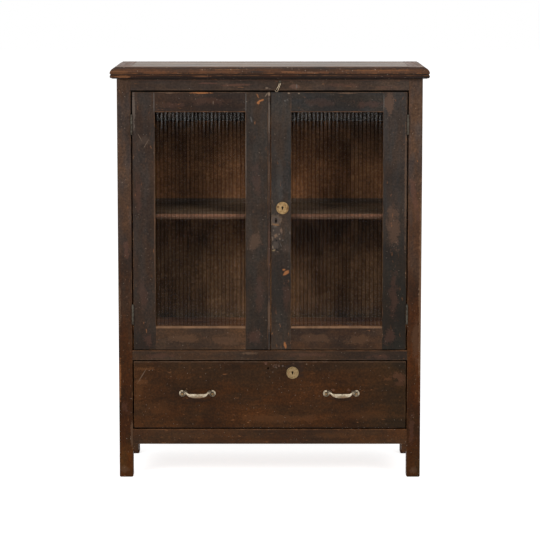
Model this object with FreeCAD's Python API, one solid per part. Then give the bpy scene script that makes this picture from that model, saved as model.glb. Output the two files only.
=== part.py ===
import FreeCAD, Part
import math
import os

# A low kitchen cabinet in the Japanese manner: four posts joined by rails, a moulded top, two doors with
# ribbed glass over one wide drawer. Everything is in millimetres. X runs to the right of someone facing the
# cabinet, Z runs up from the floor, and Y runs from the front to the back. The pieces are drawn with Y = 0 on
# the front face of the posts, and moved at the end so that the origin is the centre of the base of the
# bounding box.

# Whole cabinet
BODY_WIDTH = 909.0
BODY_DEPTH = 380.0
TOTAL_HEIGHT = 1240.0
TOP_THICKNESS = 34.0
POST_SIZE = 41.0

BODY_X = BODY_WIDTH / 2
POST_X = BODY_X - POST_SIZE
CARCASS_TOP = TOTAL_HEIGHT - TOP_THICKNESS
BACK_POST_Y = BODY_DEPTH - POST_SIZE

# Legs
FOOT_CHAMFER = 3.0
SCRIBE_HEIGHTS = (60.0, 69.5)
SCRIBE_WIDTH = 2.4
SCRIBE_DEPTH = 1.2
BRACKET_WIDTH = 15.8
BRACKET_DROP = 23.7
BRACKET_ROUND = 6.0

# Rails: lowest and highest edge
BOTTOM_RAIL = (102.0, 147.5)
MIDDLE_RAIL = (359.0, 388.5)
TOP_RAIL = (1171.0, CARCASS_TOP)
RAIL_THICKNESS = 24.0
MIDDLE_RAIL_DEPTH = 30.0
SIDE_RAIL_X = BODY_X - RAIL_THICKNESS
TENON_LENGTH = 20.0
TENON_THICKNESS = 10.0
TENON_SETBACK = 7.0
TENON_SHOULDER = 4.5

# Thin boards
PANEL_THICKNESS = 6.0
PANEL_X = 438.0
PANEL_GROOVE = 8.0
BACK_BOARD_COUNT = 5
BACK_BOARD_Y = 372.0
BACK_BOARD_REBATE = 12.0

# Top boards and the moulded frame that holds them
TOP_BOARD_THICKNESS = 18.0
TOP_BOARD_COUNT = 3
TOP_BOARD_SEAT = 20.0
FRAME_TOP_WIDTH = 40.0
BOARD_SEAT_Z = TOTAL_HEIGHT - TOP_BOARD_THICKNESS

# Moulding section, measured outward from the body and upward
TOP_ARRIS = 4.0
QUIRK_DROP = 1.8
QUIRK_WIDTH = 2.4
OVOLO_REACH = 19.7
OVOLO_Z = 1221.5
OVOLO_FULLNESS = (0.72, 0.60)
GROOVE_REACH = 17.2
GROOVE_Z = (1217.2, 1219.6)
ROLL_REACH = 19.3
ROLL_MIDDLE_Z = 1213.5
ROLL_FOOT = 12.5
ROLL_FOOT_Z = 1207.4
MOULDING_SPARE = 5.0
MITRE_REACH = 120.0

# Inside of the cupboard
FLOOR_Z = (420.0, 432.0)
SHELF_Z = (781.0, 797.0)
SHELF_FRONT_Y = 45.0
STOP_BOARD_Z = 1079.0
STOP_BOARD_THICKNESS = 12.0
BATTEN = 20.0
FRONT_BATTEN_DEPTH = 16.0

# Doors
DOOR_Z = (391.5, 1165.5)
DOOR_OUTER_X = 409.0
LEFT_DOOR_EDGE = 2.0
RIGHT_DOOR_EDGE = 3.8
DOOR_THICKNESS = 23.5
GLASS_Z = (462.5, 1106.0)
LEFT_GLASS_X = (-342.2, -73.0)
RIGHT_GLASS_X = (63.9, 337.7)
MEETING_BEAD_WIDTH = 8.0
MEETING_BEAD_PROUD = 0.6
MEETING_BEAD_ROUND = 1.5
SASH_CHAMFER = 4.0
DOOR_TENON = 32.0
DOOR_TENON_THICKNESS = 7.0
DOOR_TENON_SETBACK = 1.5
DOOR_TENON_SHOULDER = 10.0

# Glass and the beads behind it
REBATE_WIDTH = 9.0
REBATE_Y = 9.0
GLASS_CLEARANCE = 0.5
GLASS_BACK = 2.6
RIB_HEIGHT = 1.3
RIB_COUNT = 25
BEAD_DEPTH = 8.0
BEAD_WIDTH = 8.5

# Hinges
HINGE_LENGTH = 60.0
HINGE_Z = (469.0, 1039.0)
HINGE_KNUCKLES = 3
KNUCKLE_GAP = 0.3
PIN_X = (DOOR_OUTER_X + POST_X) / 2
PIN_Y = -3.2
PIN_RADIUS = 1.5
PIN_CLEARANCE = 0.05
KNUCKLE_RADIUS = 3.5
KNUCKLE_RELIEF = 3.9
LEAF_THICKNESS = 1.95
LEAF_WIDTH = 21.0

# Drawer
DRAWER_Z = (152.0, 355.0)
DRAWER_X = 409.5
DRAWER_FRONT_THICKNESS = 20.0
DRAWER_REBATE_Y = 8.0
DRAWER_SIDE_THICKNESS = 12.0
DRAWER_SIDE_TOP = 340.0
DRAWER_BACK_Y = 330.0
DRAWER_BACK_TOP = 330.0
DRAWER_BOTTOM_THICKNESS = 6.0
RUNNER_X = 395.0
RUNNER_TOP = DRAWER_Z[0] - 0.3
RUNNER_THICKNESS = 20.0
GUIDE_X = 411.0
GUIDE_TOP = 190.0
STOP_BLOCK = (396.0, 409.0)
STOP_BLOCK_HEIGHT = 24.0
STOP_GAP = 0.5
OLD_HANDLE_HOLE = (-5.0, 334.5)
OLD_HANDLE_HOLE_RADIUS = 3.0

# Drawer pulls
PULL_X = (-218.7, 215.7)
PULL_Z = 259.0
PULL_FOOT_SPACING = 96.0
PULL_FOOT_RADIUS = 10.5
PULL_FOOT_HEIGHT = 4.0
PULL_FOOT_RIM = 2.2
PULL_FOOT_DISH = 1.6
# The bow's front and back faces seen from above: distance from the middle, and reach in front of the drawer,
# at the end of the straight arm, in the bend and at the end of the bar, then the reach at the middle
PULL_OUTER = ((43.5, 16.0), (39.6, 26.6), (29.0, 31.2), 32.4)
PULL_INNER = ((39.9, 16.6), (37.0, 24.2), (28.4, 27.8), 28.8)
# Its upper and lower edges seen from the front: distance from the middle, and height above the feet's
# centres, at the foot, at the neck and at the end of the bar, then the height at the middle
PULL_UPPER = ((45.0, 8.2), (38.5, 4.3), (31.0, 2.3), 3.5)
PULL_LOWER = ((45.0, -1.8), (38.5, -3.6), (31.0, -7.2), -11.5)
PULL_CROWN_RADIUS = 14.0

# Locks
LOCK_RADIUS = 18.5
LOCK_RIM_HEIGHT = 2.6
LOCK_RIM_WIDTH = 2.6
LOCK_DISC_HEIGHT = 1.4
KEYHOLE_WIDTH = 4.5
KEYHOLE_HEIGHT = 10.0
KEYHOLE_SLOT_SHARE = 0.55
KEY_SLOT_WIDTH = 7.0
KEY_SLOT_HEIGHT = 13.0
LOCK_CASE_DEPTH = 12.5
DOOR_LOCK = (38.0, 820.0)
DOOR_CASE_X = (6.0, 52.0)
DOOR_CASE_HALF = 22.0
DRAWER_LOCK = (68.7, 320.7)
DRAWER_CASE_Z = (298.0, 350.0)
DRAWER_CASE_HALF = 22.0
BOLT_WIDTH = 10.0
BOLT_THICKNESS = 4.0
BOLT_LENGTH = 30.0
BOLT_SETBACK = 3.5
BOLT_STAND = 0.5
BOLT_TRAVEL = 12.0
SLIDE_CLEARANCE = 0.3
BOLT_MORTISE_MARGIN = 3.0
OLD_KEYHOLE = (18.5, 782.0)
OLD_KEYHOLE_WIDTH = 4.5
OLD_KEYHOLE_HEIGHT = 15.0

# Wire hook on its nail, at the middle of the top rail
NAIL_XZ = (30.5, 1197.0)
NAIL_RADIUS = 1.94
NAIL_HEAD_RADIUS = 3.4
NAIL_HEAD_HEIGHT = 1.0
NAIL_DEPTH = 14.0
HOOK_Y = -2.3
HOOK_WIRE_RADIUS = 1.0
HOOK_WIRE_SIDES = 8
HOOK_EYE_RADIUS = 3.0
# The hook's bends below its eye, as offsets from the nail in X and Z
HOOK_RIGHT_STRAND = ((3.0, -2.5), (-0.6, -11.5), (-3.2, -21.0), (-8.6, -29.8), (-14.8, -24.6))
HOOK_LEFT_STRAND = ((-3.0, -2.5), (-6.0, -12.0), (-10.2, -24.8))

PULL_REACH = PULL_OUTER[3]
FRONT_Y = (PULL_REACH - BODY_DEPTH) / 2

X_AXIS = FreeCAD.Vector(1, 0, 0)
Y_AXIS = FreeCAD.Vector(0, 1, 0)
Z_AXIS = FreeCAD.Vector(0, 0, 1)
ORIGIN = FreeCAD.Vector(0, 0, 0)


def at(x, y, z):
    return FreeCAD.Vector(x, y, z)


def block(x, y, z):
    """A board between two values of each of X, Y and Z."""
    return Part.makeBox(x[1] - x[0], y[1] - y[0], z[1] - z[0], at(x[0], y[0], z[0]))


def mirrored(shape):
    """The same piece on the other side of the cabinet."""
    return shape.mirror(ORIGIN, X_AXIS)


def turned(outline, centre):
    """A solid turned about an axis along Y. outline is radius and Y, from the axis back to the axis."""
    corners = [at(radius, y, 0) for radius, y in outline]
    solid = Part.Face(Part.makePolygon(corners + [corners[0]])).revolve(ORIGIN, Y_AXIS, 360)
    solid.translate(at(centre[0], 0, centre[1]))
    return solid


def rod(radius, start, end):
    """A round bar from one point to another."""
    along = end - start
    return Part.makeCylinder(radius, along.Length, start, along)


def straight(start, end):
    return Part.LineSegment(start, end).toShape()


def curve(start, middle, end):
    """An arc through three points."""
    return Part.Arc(start, middle, end).toShape()


def prism(outline, push):
    """A closed wire pushed into a solid."""
    return Part.Face(outline).extrude(push)


def group(shapes):
    """Separate solids that share one node."""
    return Part.makeCompound(shapes)


def save(node, shape):
    placed = shape.copy()
    placed.translate(at(0, FRONT_Y, 0))
    placed.exportStep("parts/" + node + ".step")


def cross_rail(height, y_front, depth):
    """A rail from side to side, with a tenon at each end for the posts."""
    rail = block((-POST_X, POST_X), (y_front, y_front + depth), height)
    reach = POST_X + TENON_LENGTH
    tenon_y = (y_front + TENON_SETBACK, y_front + TENON_SETBACK + TENON_THICKNESS)
    tenon_z = (height[0] + TENON_SHOULDER, height[1] - TENON_SHOULDER)
    return rail.fuse(block((-reach, reach), tenon_y, tenon_z)).removeSplitter()


def side_rail(height, groove_below, groove_above):
    """A rail from front to back on the right side, grooved for the thin panels."""
    rail = block((SIDE_RAIL_X, BODY_X), (POST_SIZE, BACK_POST_Y), height)
    low = height[0] + (PANEL_GROOVE + 1 if groove_below else TENON_SHOULDER)
    high = height[1] - (PANEL_GROOVE + 1 if groove_above else TENON_SHOULDER)
    tenon_x = (SIDE_RAIL_X + TENON_SETBACK, SIDE_RAIL_X + TENON_SETBACK + TENON_THICKNESS)
    tenon_y = (POST_SIZE - TENON_LENGTH, BACK_POST_Y + TENON_LENGTH)
    rail = rail.fuse(block(tenon_x, tenon_y, (low, high)))
    panel_x = (PANEL_X, PANEL_X + PANEL_THICKNESS)
    rail_y = (POST_SIZE, BACK_POST_Y)
    if groove_below:
        rail = rail.cut(block(panel_x, rail_y, (height[0], height[0] + PANEL_GROOVE)))
    if groove_above:
        rail = rail.cut(block(panel_x, rail_y, (height[1] - PANEL_GROOVE, height[1])))
    return rail


def side_panel(low_rail, high_rail):
    """A thin board held in the grooves of the posts and rails on the right side."""
    y = (POST_SIZE - PANEL_GROOVE, BACK_POST_Y + PANEL_GROOVE)
    z = (low_rail[1] - PANEL_GROOVE, high_rail[0] + PANEL_GROOVE)
    return block((PANEL_X, PANEL_X + PANEL_THICKNESS), y, z)


def foot_bracket():
    """The small stepped block in the corner between the right leg and the bottom rail."""
    inner = POST_X - BRACKET_WIDTH
    low = BOTTOM_RAIL[0] - BRACKET_DROP
    high = BOTTOM_RAIL[0]
    bend = at(inner, 0, low) + at(BRACKET_ROUND, 0, BRACKET_ROUND) * (1 - math.sqrt(0.5))
    edges = [
        straight(at(POST_X, 0, low), at(POST_X, 0, high)),
        straight(at(POST_X, 0, high), at(inner, 0, high)),
        straight(at(inner, 0, high), at(inner, 0, low + BRACKET_ROUND)),
        curve(at(inner, 0, low + BRACKET_ROUND), bend, at(inner + BRACKET_ROUND, 0, low)),
        straight(at(inner + BRACKET_ROUND, 0, low), at(POST_X, 0, low)),
    ]
    return prism(Part.Wire(edges), Y_AXIS * RAIL_THICKNESS)


def leg_blank(y):
    """A square post with the edges of its foot planed off, before its mortises are cut."""
    post = block((POST_X, BODY_X), y, (0, CARCASS_TOP))
    foot_edges = [edge for edge in post.Edges if edge.BoundBox.ZMax < 1.0]
    return post.makeChamfer(FOOT_CHAMFER, foot_edges)


def scribed_lines():
    """The two shallow lines cut across the front of a leg, as V grooves."""
    grooves = []
    for height in SCRIBE_HEIGHTS:
        corners = [
            at(POST_X - 1, 0, height - SCRIBE_WIDTH / 2),
            at(POST_X - 1, SCRIBE_DEPTH, height),
            at(POST_X - 1, 0, height + SCRIBE_WIDTH / 2),
            at(POST_X - 1, 0, height - SCRIBE_WIDTH / 2),
        ]
        grooves.append(prism(Part.makePolygon(corners), X_AXIS * (POST_SIZE + 2)))
    return grooves


def front_post(joined):
    post = leg_blank((0, POST_SIZE))
    for piece in joined + scribed_lines():
        post = post.cut(piece)
    return post


def back_post(joined):
    post = leg_blank((BACK_POST_Y, BODY_DEPTH))
    rebate_x = (POST_X, POST_X + BACK_BOARD_REBATE)
    post = post.cut(block(rebate_x, (BACK_BOARD_Y, BODY_DEPTH), (BOTTOM_RAIL[0], CARCASS_TOP)))
    for piece in joined:
        post = post.cut(piece)
    return post


def back_boards():
    """Upright boards nailed over the back rails, between the rebates of the back posts."""
    reach = POST_X + BACK_BOARD_REBATE
    width = 2 * reach / BACK_BOARD_COUNT
    y = (BACK_BOARD_Y, BACK_BOARD_Y + PANEL_THICKNESS)
    z = (BOTTOM_RAIL[0], CARCASS_TOP)
    boards = []
    for number in range(BACK_BOARD_COUNT):
        left = -reach + number * width
        boards.append(block((left, left + width), y, z))
    return boards


def moulding_section():
    """The moulded frame's section, drawn outward along X from the face of the body, with Z up."""
    inner = -FRAME_TOP_WIDTH
    seat = inner - TOP_BOARD_SEAT
    quirk = at(TOP_ARRIS + QUIRK_WIDTH, 0, TOTAL_HEIGHT - QUIRK_DROP)
    ovolo_end = at(OVOLO_REACH, 0, OVOLO_Z)
    ovolo_middle = at(
        quirk.x + OVOLO_FULLNESS[0] * (ovolo_end.x - quirk.x),
        0,
        ovolo_end.z + OVOLO_FULLNESS[1] * (quirk.z - ovolo_end.z),
    )
    roll_foot = at(ROLL_FOOT, 0, ROLL_FOOT_Z)
    return Part.Wire([
        straight(at(seat, 0, CARCASS_TOP), at(seat, 0, BOARD_SEAT_Z)),
        straight(at(seat, 0, BOARD_SEAT_Z), at(inner, 0, BOARD_SEAT_Z)),
        straight(at(inner, 0, BOARD_SEAT_Z), at(inner, 0, TOTAL_HEIGHT)),
        straight(at(inner, 0, TOTAL_HEIGHT), at(TOP_ARRIS, 0, TOTAL_HEIGHT)),
        straight(at(TOP_ARRIS, 0, TOTAL_HEIGHT), at(TOP_ARRIS, 0, quirk.z)),
        straight(at(TOP_ARRIS, 0, quirk.z), quirk),
        curve(quirk, ovolo_middle, ovolo_end),
        straight(ovolo_end, at(GROOVE_REACH, 0, GROOVE_Z[1])),
        straight(at(GROOVE_REACH, 0, GROOVE_Z[1]), at(GROOVE_REACH, 0, GROOVE_Z[0])),
        curve(at(GROOVE_REACH, 0, GROOVE_Z[0]), at(ROLL_REACH, 0, ROLL_MIDDLE_Z), roll_foot),
        straight(roll_foot, at(ROLL_FOOT, 0, CARCASS_TOP)),
        straight(at(ROLL_FOOT, 0, CARCASS_TOP), at(seat, 0, CARCASS_TOP)),
    ])


def mitre_wedge():
    """What lies to the right of the mitre at the front right corner, seen from above."""
    low = CARCASS_TOP - 1
    corners = [
        at(BODY_X - MITRE_REACH, MITRE_REACH, low),
        at(BODY_X + MITRE_REACH, -MITRE_REACH, low),
        at(BODY_X + MITRE_REACH, MITRE_REACH, low),
        at(BODY_X - MITRE_REACH, MITRE_REACH, low),
    ]
    return prism(Part.makePolygon(corners), Z_AXIS * (TOP_THICKNESS + 2))


def side_moulding():
    """The moulding along the right side, mitred at the front and square at the back."""
    start = -OVOLO_REACH - MOULDING_SPARE
    section = moulding_section()
    section.translate(at(BODY_X, start, 0))
    bar = prism(section, Y_AXIS * (BODY_DEPTH - start))
    behind_mitre = block(
        (BODY_X - MITRE_REACH, BODY_X + MITRE_REACH),
        (MITRE_REACH, BODY_DEPTH),
        (CARCASS_TOP, TOTAL_HEIGHT),
    )
    return bar.common(mitre_wedge().fuse(behind_mitre)).removeSplitter()


def front_moulding():
    """The moulding along the front, mitred at both ends."""
    section = moulding_section()
    section.rotate(ORIGIN, Z_AXIS, -90)
    length = BODY_WIDTH + 2 * (OVOLO_REACH + MOULDING_SPARE)
    section.translate(at(-length / 2, 0, 0))
    bar = prism(section, X_AXIS * length)
    wedge = mitre_wedge()
    return bar.cut(wedge).cut(mirrored(wedge))


def top_boards():
    """Three boards lying in the rebate of the moulded frame, flush with its top."""
    reach = BODY_X - FRAME_TOP_WIDTH
    width = (BODY_DEPTH - FRAME_TOP_WIDTH) / TOP_BOARD_COUNT
    boards = []
    for number in range(TOP_BOARD_COUNT):
        near = FRAME_TOP_WIDTH + number * width
        boards.append(block((-reach, reach), (near, near + width), (BOARD_SEAT_Z, TOTAL_HEIGHT)))
    return boards


def top_back_batten():
    """The strip under the back edge of the top boards."""
    reach = BODY_X - FRAME_TOP_WIDTH - TOP_BOARD_SEAT
    y = (BODY_DEPTH - FRAME_TOP_WIDTH, BODY_DEPTH)
    return block((-reach, reach), y, (CARCASS_TOP, BOARD_SEAT_Z))


def cabinet_floor(posts):
    floor = block((-PANEL_X, PANEL_X), (RAIL_THICKNESS, BACK_BOARD_Y), FLOOR_Z)
    for post in posts:
        floor = floor.cut(post)
    return floor


def shelf(posts):
    board = block((-PANEL_X, PANEL_X), (SHELF_FRONT_Y, BACK_BOARD_Y), SHELF_Z)
    for post in posts:
        board = board.cut(post)
    return board


def side_battens(top):
    """Two strips along the side panels that carry a board, with their upper face at the given height."""
    right = block((PANEL_X - BATTEN, PANEL_X), (POST_SIZE, BACK_POST_Y), (top - BATTEN, top))
    return [right, mirrored(right)]


def front_batten():
    """The strip on the middle rail that carries the front edge of the floor."""
    y = (RAIL_THICKNESS, RAIL_THICKNESS + FRONT_BATTEN_DEPTH)
    return block((-POST_X, POST_X), y, (MIDDLE_RAIL[1], FLOOR_Z[0]))


def stop_board():
    """The board behind the top rail against which the doors close."""
    y = (RAIL_THICKNESS, RAIL_THICKNESS + STOP_BOARD_THICKNESS)
    return block((-POST_X, POST_X), y, (STOP_BOARD_Z, CARCASS_TOP))


def keyhole(centre, width, height, y):
    """A keyhole cut: a round top and a slot below it, along Y. The slot is a share of the round's width."""
    low = centre[1] - height / 2
    radius = width / 2
    top = centre[1] + height / 2 - radius
    round_part = rod(radius, at(centre[0], y[0], top), at(centre[0], y[1], top))
    half_slot = radius * KEYHOLE_SLOT_SHARE
    slot = block((centre[0] - half_slot, centre[0] + half_slot), y, (low, top))
    return round_part.fuse(slot)


def door_frame(outer, glass_x, bead_side):
    """Stiles and rails of one door. bead_side is the width kept clear at its free edge for a bead."""
    y = (0, DOOR_THICKNESS)
    left_stile = block((outer[0], glass_x[0]), y, DOOR_Z)
    right_stile = block((glass_x[1], outer[1] - bead_side), y, DOOR_Z)
    rebate = block(
        (glass_x[0] - REBATE_WIDTH, glass_x[1] + REBATE_WIDTH),
        (REBATE_Y, DOOR_THICKNESS),
        (GLASS_Z[0] - REBATE_WIDTH, GLASS_Z[1] + REBATE_WIDTH),
    )
    rails = []
    for z, inner_edge in (((GLASS_Z[1], DOOR_Z[1]), 0), ((DOOR_Z[0], GLASS_Z[0]), 1)):
        rail = block(glass_x, y, z)
        chamfer = sash_chamfer(glass_x, z[inner_edge], 1 if inner_edge == 0 else -1)
        tenon_x = (glass_x[0] - DOOR_TENON, glass_x[1] + DOOR_TENON)
        tenon_y = (DOOR_TENON_SETBACK, DOOR_TENON_SETBACK + DOOR_TENON_THICKNESS)
        tenon_z = (z[0] + DOOR_TENON_SHOULDER, z[1] - DOOR_TENON_SHOULDER)
        rails.append(rail.cut(chamfer).fuse(block(tenon_x, tenon_y, tenon_z)).cut(rebate))
    stiles = []
    for stile in (left_stile, right_stile):
        stiles.append(stile.cut(rebate).cut(rails[0]).cut(rails[1]))
    return stiles, rails


def sash_chamfer(glass_x, edge, up):
    """The slope planed along a door rail's front corner, beside the glass."""
    corners = [
        at(glass_x[0] - 1, 0, edge + up * SASH_CHAMFER),
        at(glass_x[0] - 1, 0, edge - up),
        at(glass_x[0] - 1, SASH_CHAMFER + 1, edge - up),
        at(glass_x[0] - 1, 0, edge + up * SASH_CHAMFER),
    ]
    return prism(Part.makePolygon(corners), X_AXIS * (glass_x[1] - glass_x[0] + 2))


def ribbed_glass(glass_x):
    """A pane with a flat back and a row of rounded upright ribs on its front."""
    spare = REBATE_WIDTH - GLASS_CLEARANCE
    left = glass_x[0] - spare
    width = glass_x[1] - glass_x[0] + 2 * spare
    pitch = width / RIB_COUNT
    low = GLASS_Z[0] - spare
    high = GLASS_Z[1] + spare
    valley = REBATE_Y + RIB_HEIGHT
    back = valley + GLASS_BACK
    edges = []
    for number in range(RIB_COUNT):
        start = left + number * pitch
        crest = at(start + pitch / 2, REBATE_Y, low)
        edges.append(curve(at(start, valley, low), crest, at(start + pitch, valley, low)))
    right = left + width
    edges.append(straight(at(right, valley, low), at(right, back, low)))
    edges.append(straight(at(right, back, low), at(left, back, low)))
    edges.append(straight(at(left, back, low), at(left, valley, low)))
    return prism(Part.Wire(edges), Z_AXIS * (high - low))


def glazing_beads(glass_x):
    """Four mitred strips that hold the glass in its rebate from behind."""
    front = REBATE_Y + RIB_HEIGHT + GLASS_BACK
    outer = (
        glass_x[0] - REBATE_WIDTH,
        glass_x[1] + REBATE_WIDTH,
        GLASS_Z[0] - REBATE_WIDTH,
        GLASS_Z[1] + REBATE_WIDTH,
    )
    inner = (outer[0] + BEAD_WIDTH, outer[1] - BEAD_WIDTH, outer[2] + BEAD_WIDTH, outer[3] - BEAD_WIDTH)
    out_corners = [(outer[0], outer[2]), (outer[1], outer[2]), (outer[1], outer[3]), (outer[0], outer[3])]
    in_corners = [(inner[0], inner[2]), (inner[1], inner[2]), (inner[1], inner[3]), (inner[0], inner[3])]
    beads = []
    for number in range(4):
        after = (number + 1) % 4
        loop = [out_corners[number], out_corners[after], in_corners[after], in_corners[number]]
        loop.append(loop[0])
        outline = Part.makePolygon([at(x, front, z) for x, z in loop])
        beads.append(prism(outline, Y_AXIS * BEAD_DEPTH))
    return beads


def meeting_bead():
    """The rounded strip planted on the free edge of the left door."""
    x = (LEFT_DOOR_EDGE - MEETING_BEAD_WIDTH, LEFT_DOOR_EDGE)
    strip = block(x, (-MEETING_BEAD_PROUD, DOOR_THICKNESS), DOOR_Z)
    door_height = DOOR_Z[1] - DOOR_Z[0]
    long_edges = [
        edge
        for edge in strip.Edges
        if edge.BoundBox.ZLength > door_height / 2 and edge.BoundBox.YMax < 0.0
    ]
    return strip.makeFillet(MEETING_BEAD_ROUND, long_edges)


def knuckle_spans(low):
    """Heights of a hinge's knuckles, from the bottom, with a small gap between neighbours."""
    step = HINGE_LENGTH / HINGE_KNUCKLES
    spans = []
    for number in range(HINGE_KNUCKLES):
        start = low + number * step
        spans.append((start + KNUCKLE_GAP / 2, start + step - KNUCKLE_GAP / 2))
    return spans


def hinge_leaf(low, x, own):
    """One leaf of a right-hand hinge. own says which knuckles it carries, 0 or 1 for the lowest."""
    leaf = block(x, (PIN_Y + LEAF_THICKNESS, LEAF_WIDTH), (low, low + HINGE_LENGTH))
    step = HINGE_LENGTH / HINGE_KNUCKLES
    for number, span in enumerate(knuckle_spans(low)):
        if number % 2 == own:
            leaf = leaf.fuse(rod(KNUCKLE_RADIUS, at(PIN_X, PIN_Y, span[0]), at(PIN_X, PIN_Y, span[1])))
        else:
            start = low + number * step - KNUCKLE_GAP / 2
            end = start + step + KNUCKLE_GAP
            leaf = leaf.cut(block(x, (PIN_Y, PIN_Y + KNUCKLE_RELIEF), (start, end)))
    return leaf


def hinge_pin(low, radius):
    """The length of a hinge's pin, from inside its lowest knuckle to inside its highest."""
    inside = HINGE_LENGTH / HINGE_KNUCKLES / 2
    high = low + HINGE_LENGTH
    return rod(radius, at(PIN_X, PIN_Y, low + inside), at(PIN_X, PIN_Y, high - inside))


def post_leaf(low):
    """The leaf on the post, with the pin riveted into its two knuckles."""
    leaf = hinge_leaf(low, (POST_X - LEAF_THICKNESS, POST_X), 0)
    return leaf.fuse(hinge_pin(low, PIN_RADIUS)).removeSplitter()


def door_leaf(low):
    """The leaf on the door, whose middle knuckle turns on the pin."""
    leaf = hinge_leaf(low, (DOOR_OUTER_X, DOOR_OUTER_X + LEAF_THICKNESS), 1)
    return leaf.cut(hinge_pin(low, PIN_RADIUS + PIN_CLEARANCE))


def lock_rose(centre):
    """The round brass plate with a raised rim, standing on the front face, with a keyhole through it."""
    inner = LOCK_RADIUS - LOCK_RIM_WIDTH
    plate = turned(
        (
            (0, 0),
            (LOCK_RADIUS, 0),
            (LOCK_RADIUS, -LOCK_RIM_HEIGHT),
            (inner, -LOCK_RIM_HEIGHT),
            (inner, -LOCK_DISC_HEIGHT),
            (0, -LOCK_DISC_HEIGHT),
        ),
        centre,
    )
    return plate.cut(keyhole(centre, KEYHOLE_WIDTH, KEYHOLE_HEIGHT, (-LOCK_RIM_HEIGHT, 0)))


def door_lock_bolt():
    """The door lock's bolt, drawn back into its case. It slides towards the left door."""
    x = (DOOR_CASE_X[0] - BOLT_STAND, DOOR_CASE_X[0] - BOLT_STAND + BOLT_LENGTH)
    y = (DOOR_THICKNESS + BOLT_SETBACK, DOOR_THICKNESS + BOLT_SETBACK + BOLT_THICKNESS)
    z = (DOOR_LOCK[1] - BOLT_WIDTH / 2, DOOR_LOCK[1] + BOLT_WIDTH / 2)
    return block(x, y, z)


def door_lock_case():
    """The iron case screwed to the back of the right door's meeting stile."""
    y = (DOOR_THICKNESS, DOOR_THICKNESS + LOCK_CASE_DEPTH)
    z = (DOOR_LOCK[1] - DOOR_CASE_HALF, DOOR_LOCK[1] + DOOR_CASE_HALF)
    bolt = door_lock_bolt().BoundBox
    channel = block(
        (bolt.XMin - 1, bolt.XMax + SLIDE_CLEARANCE),
        (bolt.YMin - SLIDE_CLEARANCE, bolt.YMax + SLIDE_CLEARANCE),
        (bolt.ZMin - SLIDE_CLEARANCE, bolt.ZMax + SLIDE_CLEARANCE),
    )
    return block(DOOR_CASE_X, y, z).cut(channel)


def drawer_lock_bolt():
    """The drawer lock's bolt, drawn down into its case. It slides up into the middle rail."""
    x = (DRAWER_LOCK[0] - BOLT_WIDTH / 2, DRAWER_LOCK[0] + BOLT_WIDTH / 2)
    near = DRAWER_FRONT_THICKNESS + BOLT_SETBACK
    high = DRAWER_CASE_Z[1] + BOLT_STAND
    return block(x, (near, near + BOLT_THICKNESS), (high - BOLT_LENGTH, high))


def drawer_lock_case():
    """The iron case screwed to the back of the drawer front."""
    x = (DRAWER_LOCK[0] - DRAWER_CASE_HALF, DRAWER_LOCK[0] + DRAWER_CASE_HALF)
    y = (DRAWER_FRONT_THICKNESS, DRAWER_FRONT_THICKNESS + LOCK_CASE_DEPTH)
    bolt = drawer_lock_bolt().BoundBox
    channel = block(
        (bolt.XMin - SLIDE_CLEARANCE, bolt.XMax + SLIDE_CLEARANCE),
        (bolt.YMin - SLIDE_CLEARANCE, bolt.YMax + SLIDE_CLEARANCE),
        (bolt.ZMin - SLIDE_CLEARANCE, bolt.ZMax + 1),
    )
    return block(x, y, DRAWER_CASE_Z).cut(channel)


def bolt_mortise():
    """The pocket in the middle rail that the drawer's bolt rises into."""
    bolt = drawer_lock_bolt().BoundBox
    return block(
        (bolt.XMin - BOLT_MORTISE_MARGIN, bolt.XMax + BOLT_MORTISE_MARGIN),
        (bolt.YMin - 1, bolt.YMax + 1),
        (MIDDLE_RAIL[0], bolt.ZMax + BOLT_TRAVEL + 1),
    )


def key_slot(centre, y):
    """The slot cut through the wood behind a keyhole."""
    x = (centre[0] - KEY_SLOT_WIDTH / 2, centre[0] + KEY_SLOT_WIDTH / 2)
    z = (centre[1] - KEY_SLOT_HEIGHT / 2, centre[1] + KEY_SLOT_HEIGHT / 2)
    return block(x, y, z)


def mirrored_run(points, middle):
    """Curves through half an outline's points and its middle, and on through their mirror images."""
    far = [at(-point.x, point.y, point.z) for point in points]
    return [
        curve(points[-3], points[-2], points[-1]),
        curve(points[-1], middle, far[-1]),
        curve(far[-1], far[-2], far[-3]),
    ]


def bow_plan():
    """The bow seen from above: two straight arms, two bends and a nearly straight bar."""
    runs = []
    for arm, bend, bar_end, middle in (PULL_OUTER, PULL_INNER):
        points = [at(x, -reach, 0) for x, reach in (arm, bend, bar_end)]
        runs += mirrored_run(points, at(0, -middle, 0))
        runs.append(straight(at(arm[0], 0, 0), points[0]))
        runs.append(straight(at(-arm[0], 0, 0), at(-arm[0], -arm[1], 0)))
    for side in (1, -1):
        runs.append(straight(at(side * PULL_OUTER[0][0], 0, 0), at(side * PULL_INNER[0][0], 0, 0)))
    return Part.Wire(Part.__sortEdges__(runs))


def bow_face():
    """The bow seen from the front: a leaf-shaped bar whose necks rise to the feet."""
    runs = []
    for end, neck, bar_end, middle in (PULL_UPPER, PULL_LOWER):
        runs += mirrored_run([at(x, 0, z) for x, z in (end, neck, bar_end)], at(0, 0, middle))
    for side in (1, -1):
        upper = at(side * PULL_UPPER[0][0], 0, PULL_UPPER[0][1])
        runs.append(straight(upper, at(side * PULL_LOWER[0][0], 0, PULL_LOWER[0][1])))
    return Part.Wire(Part.__sortEdges__(runs))


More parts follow.
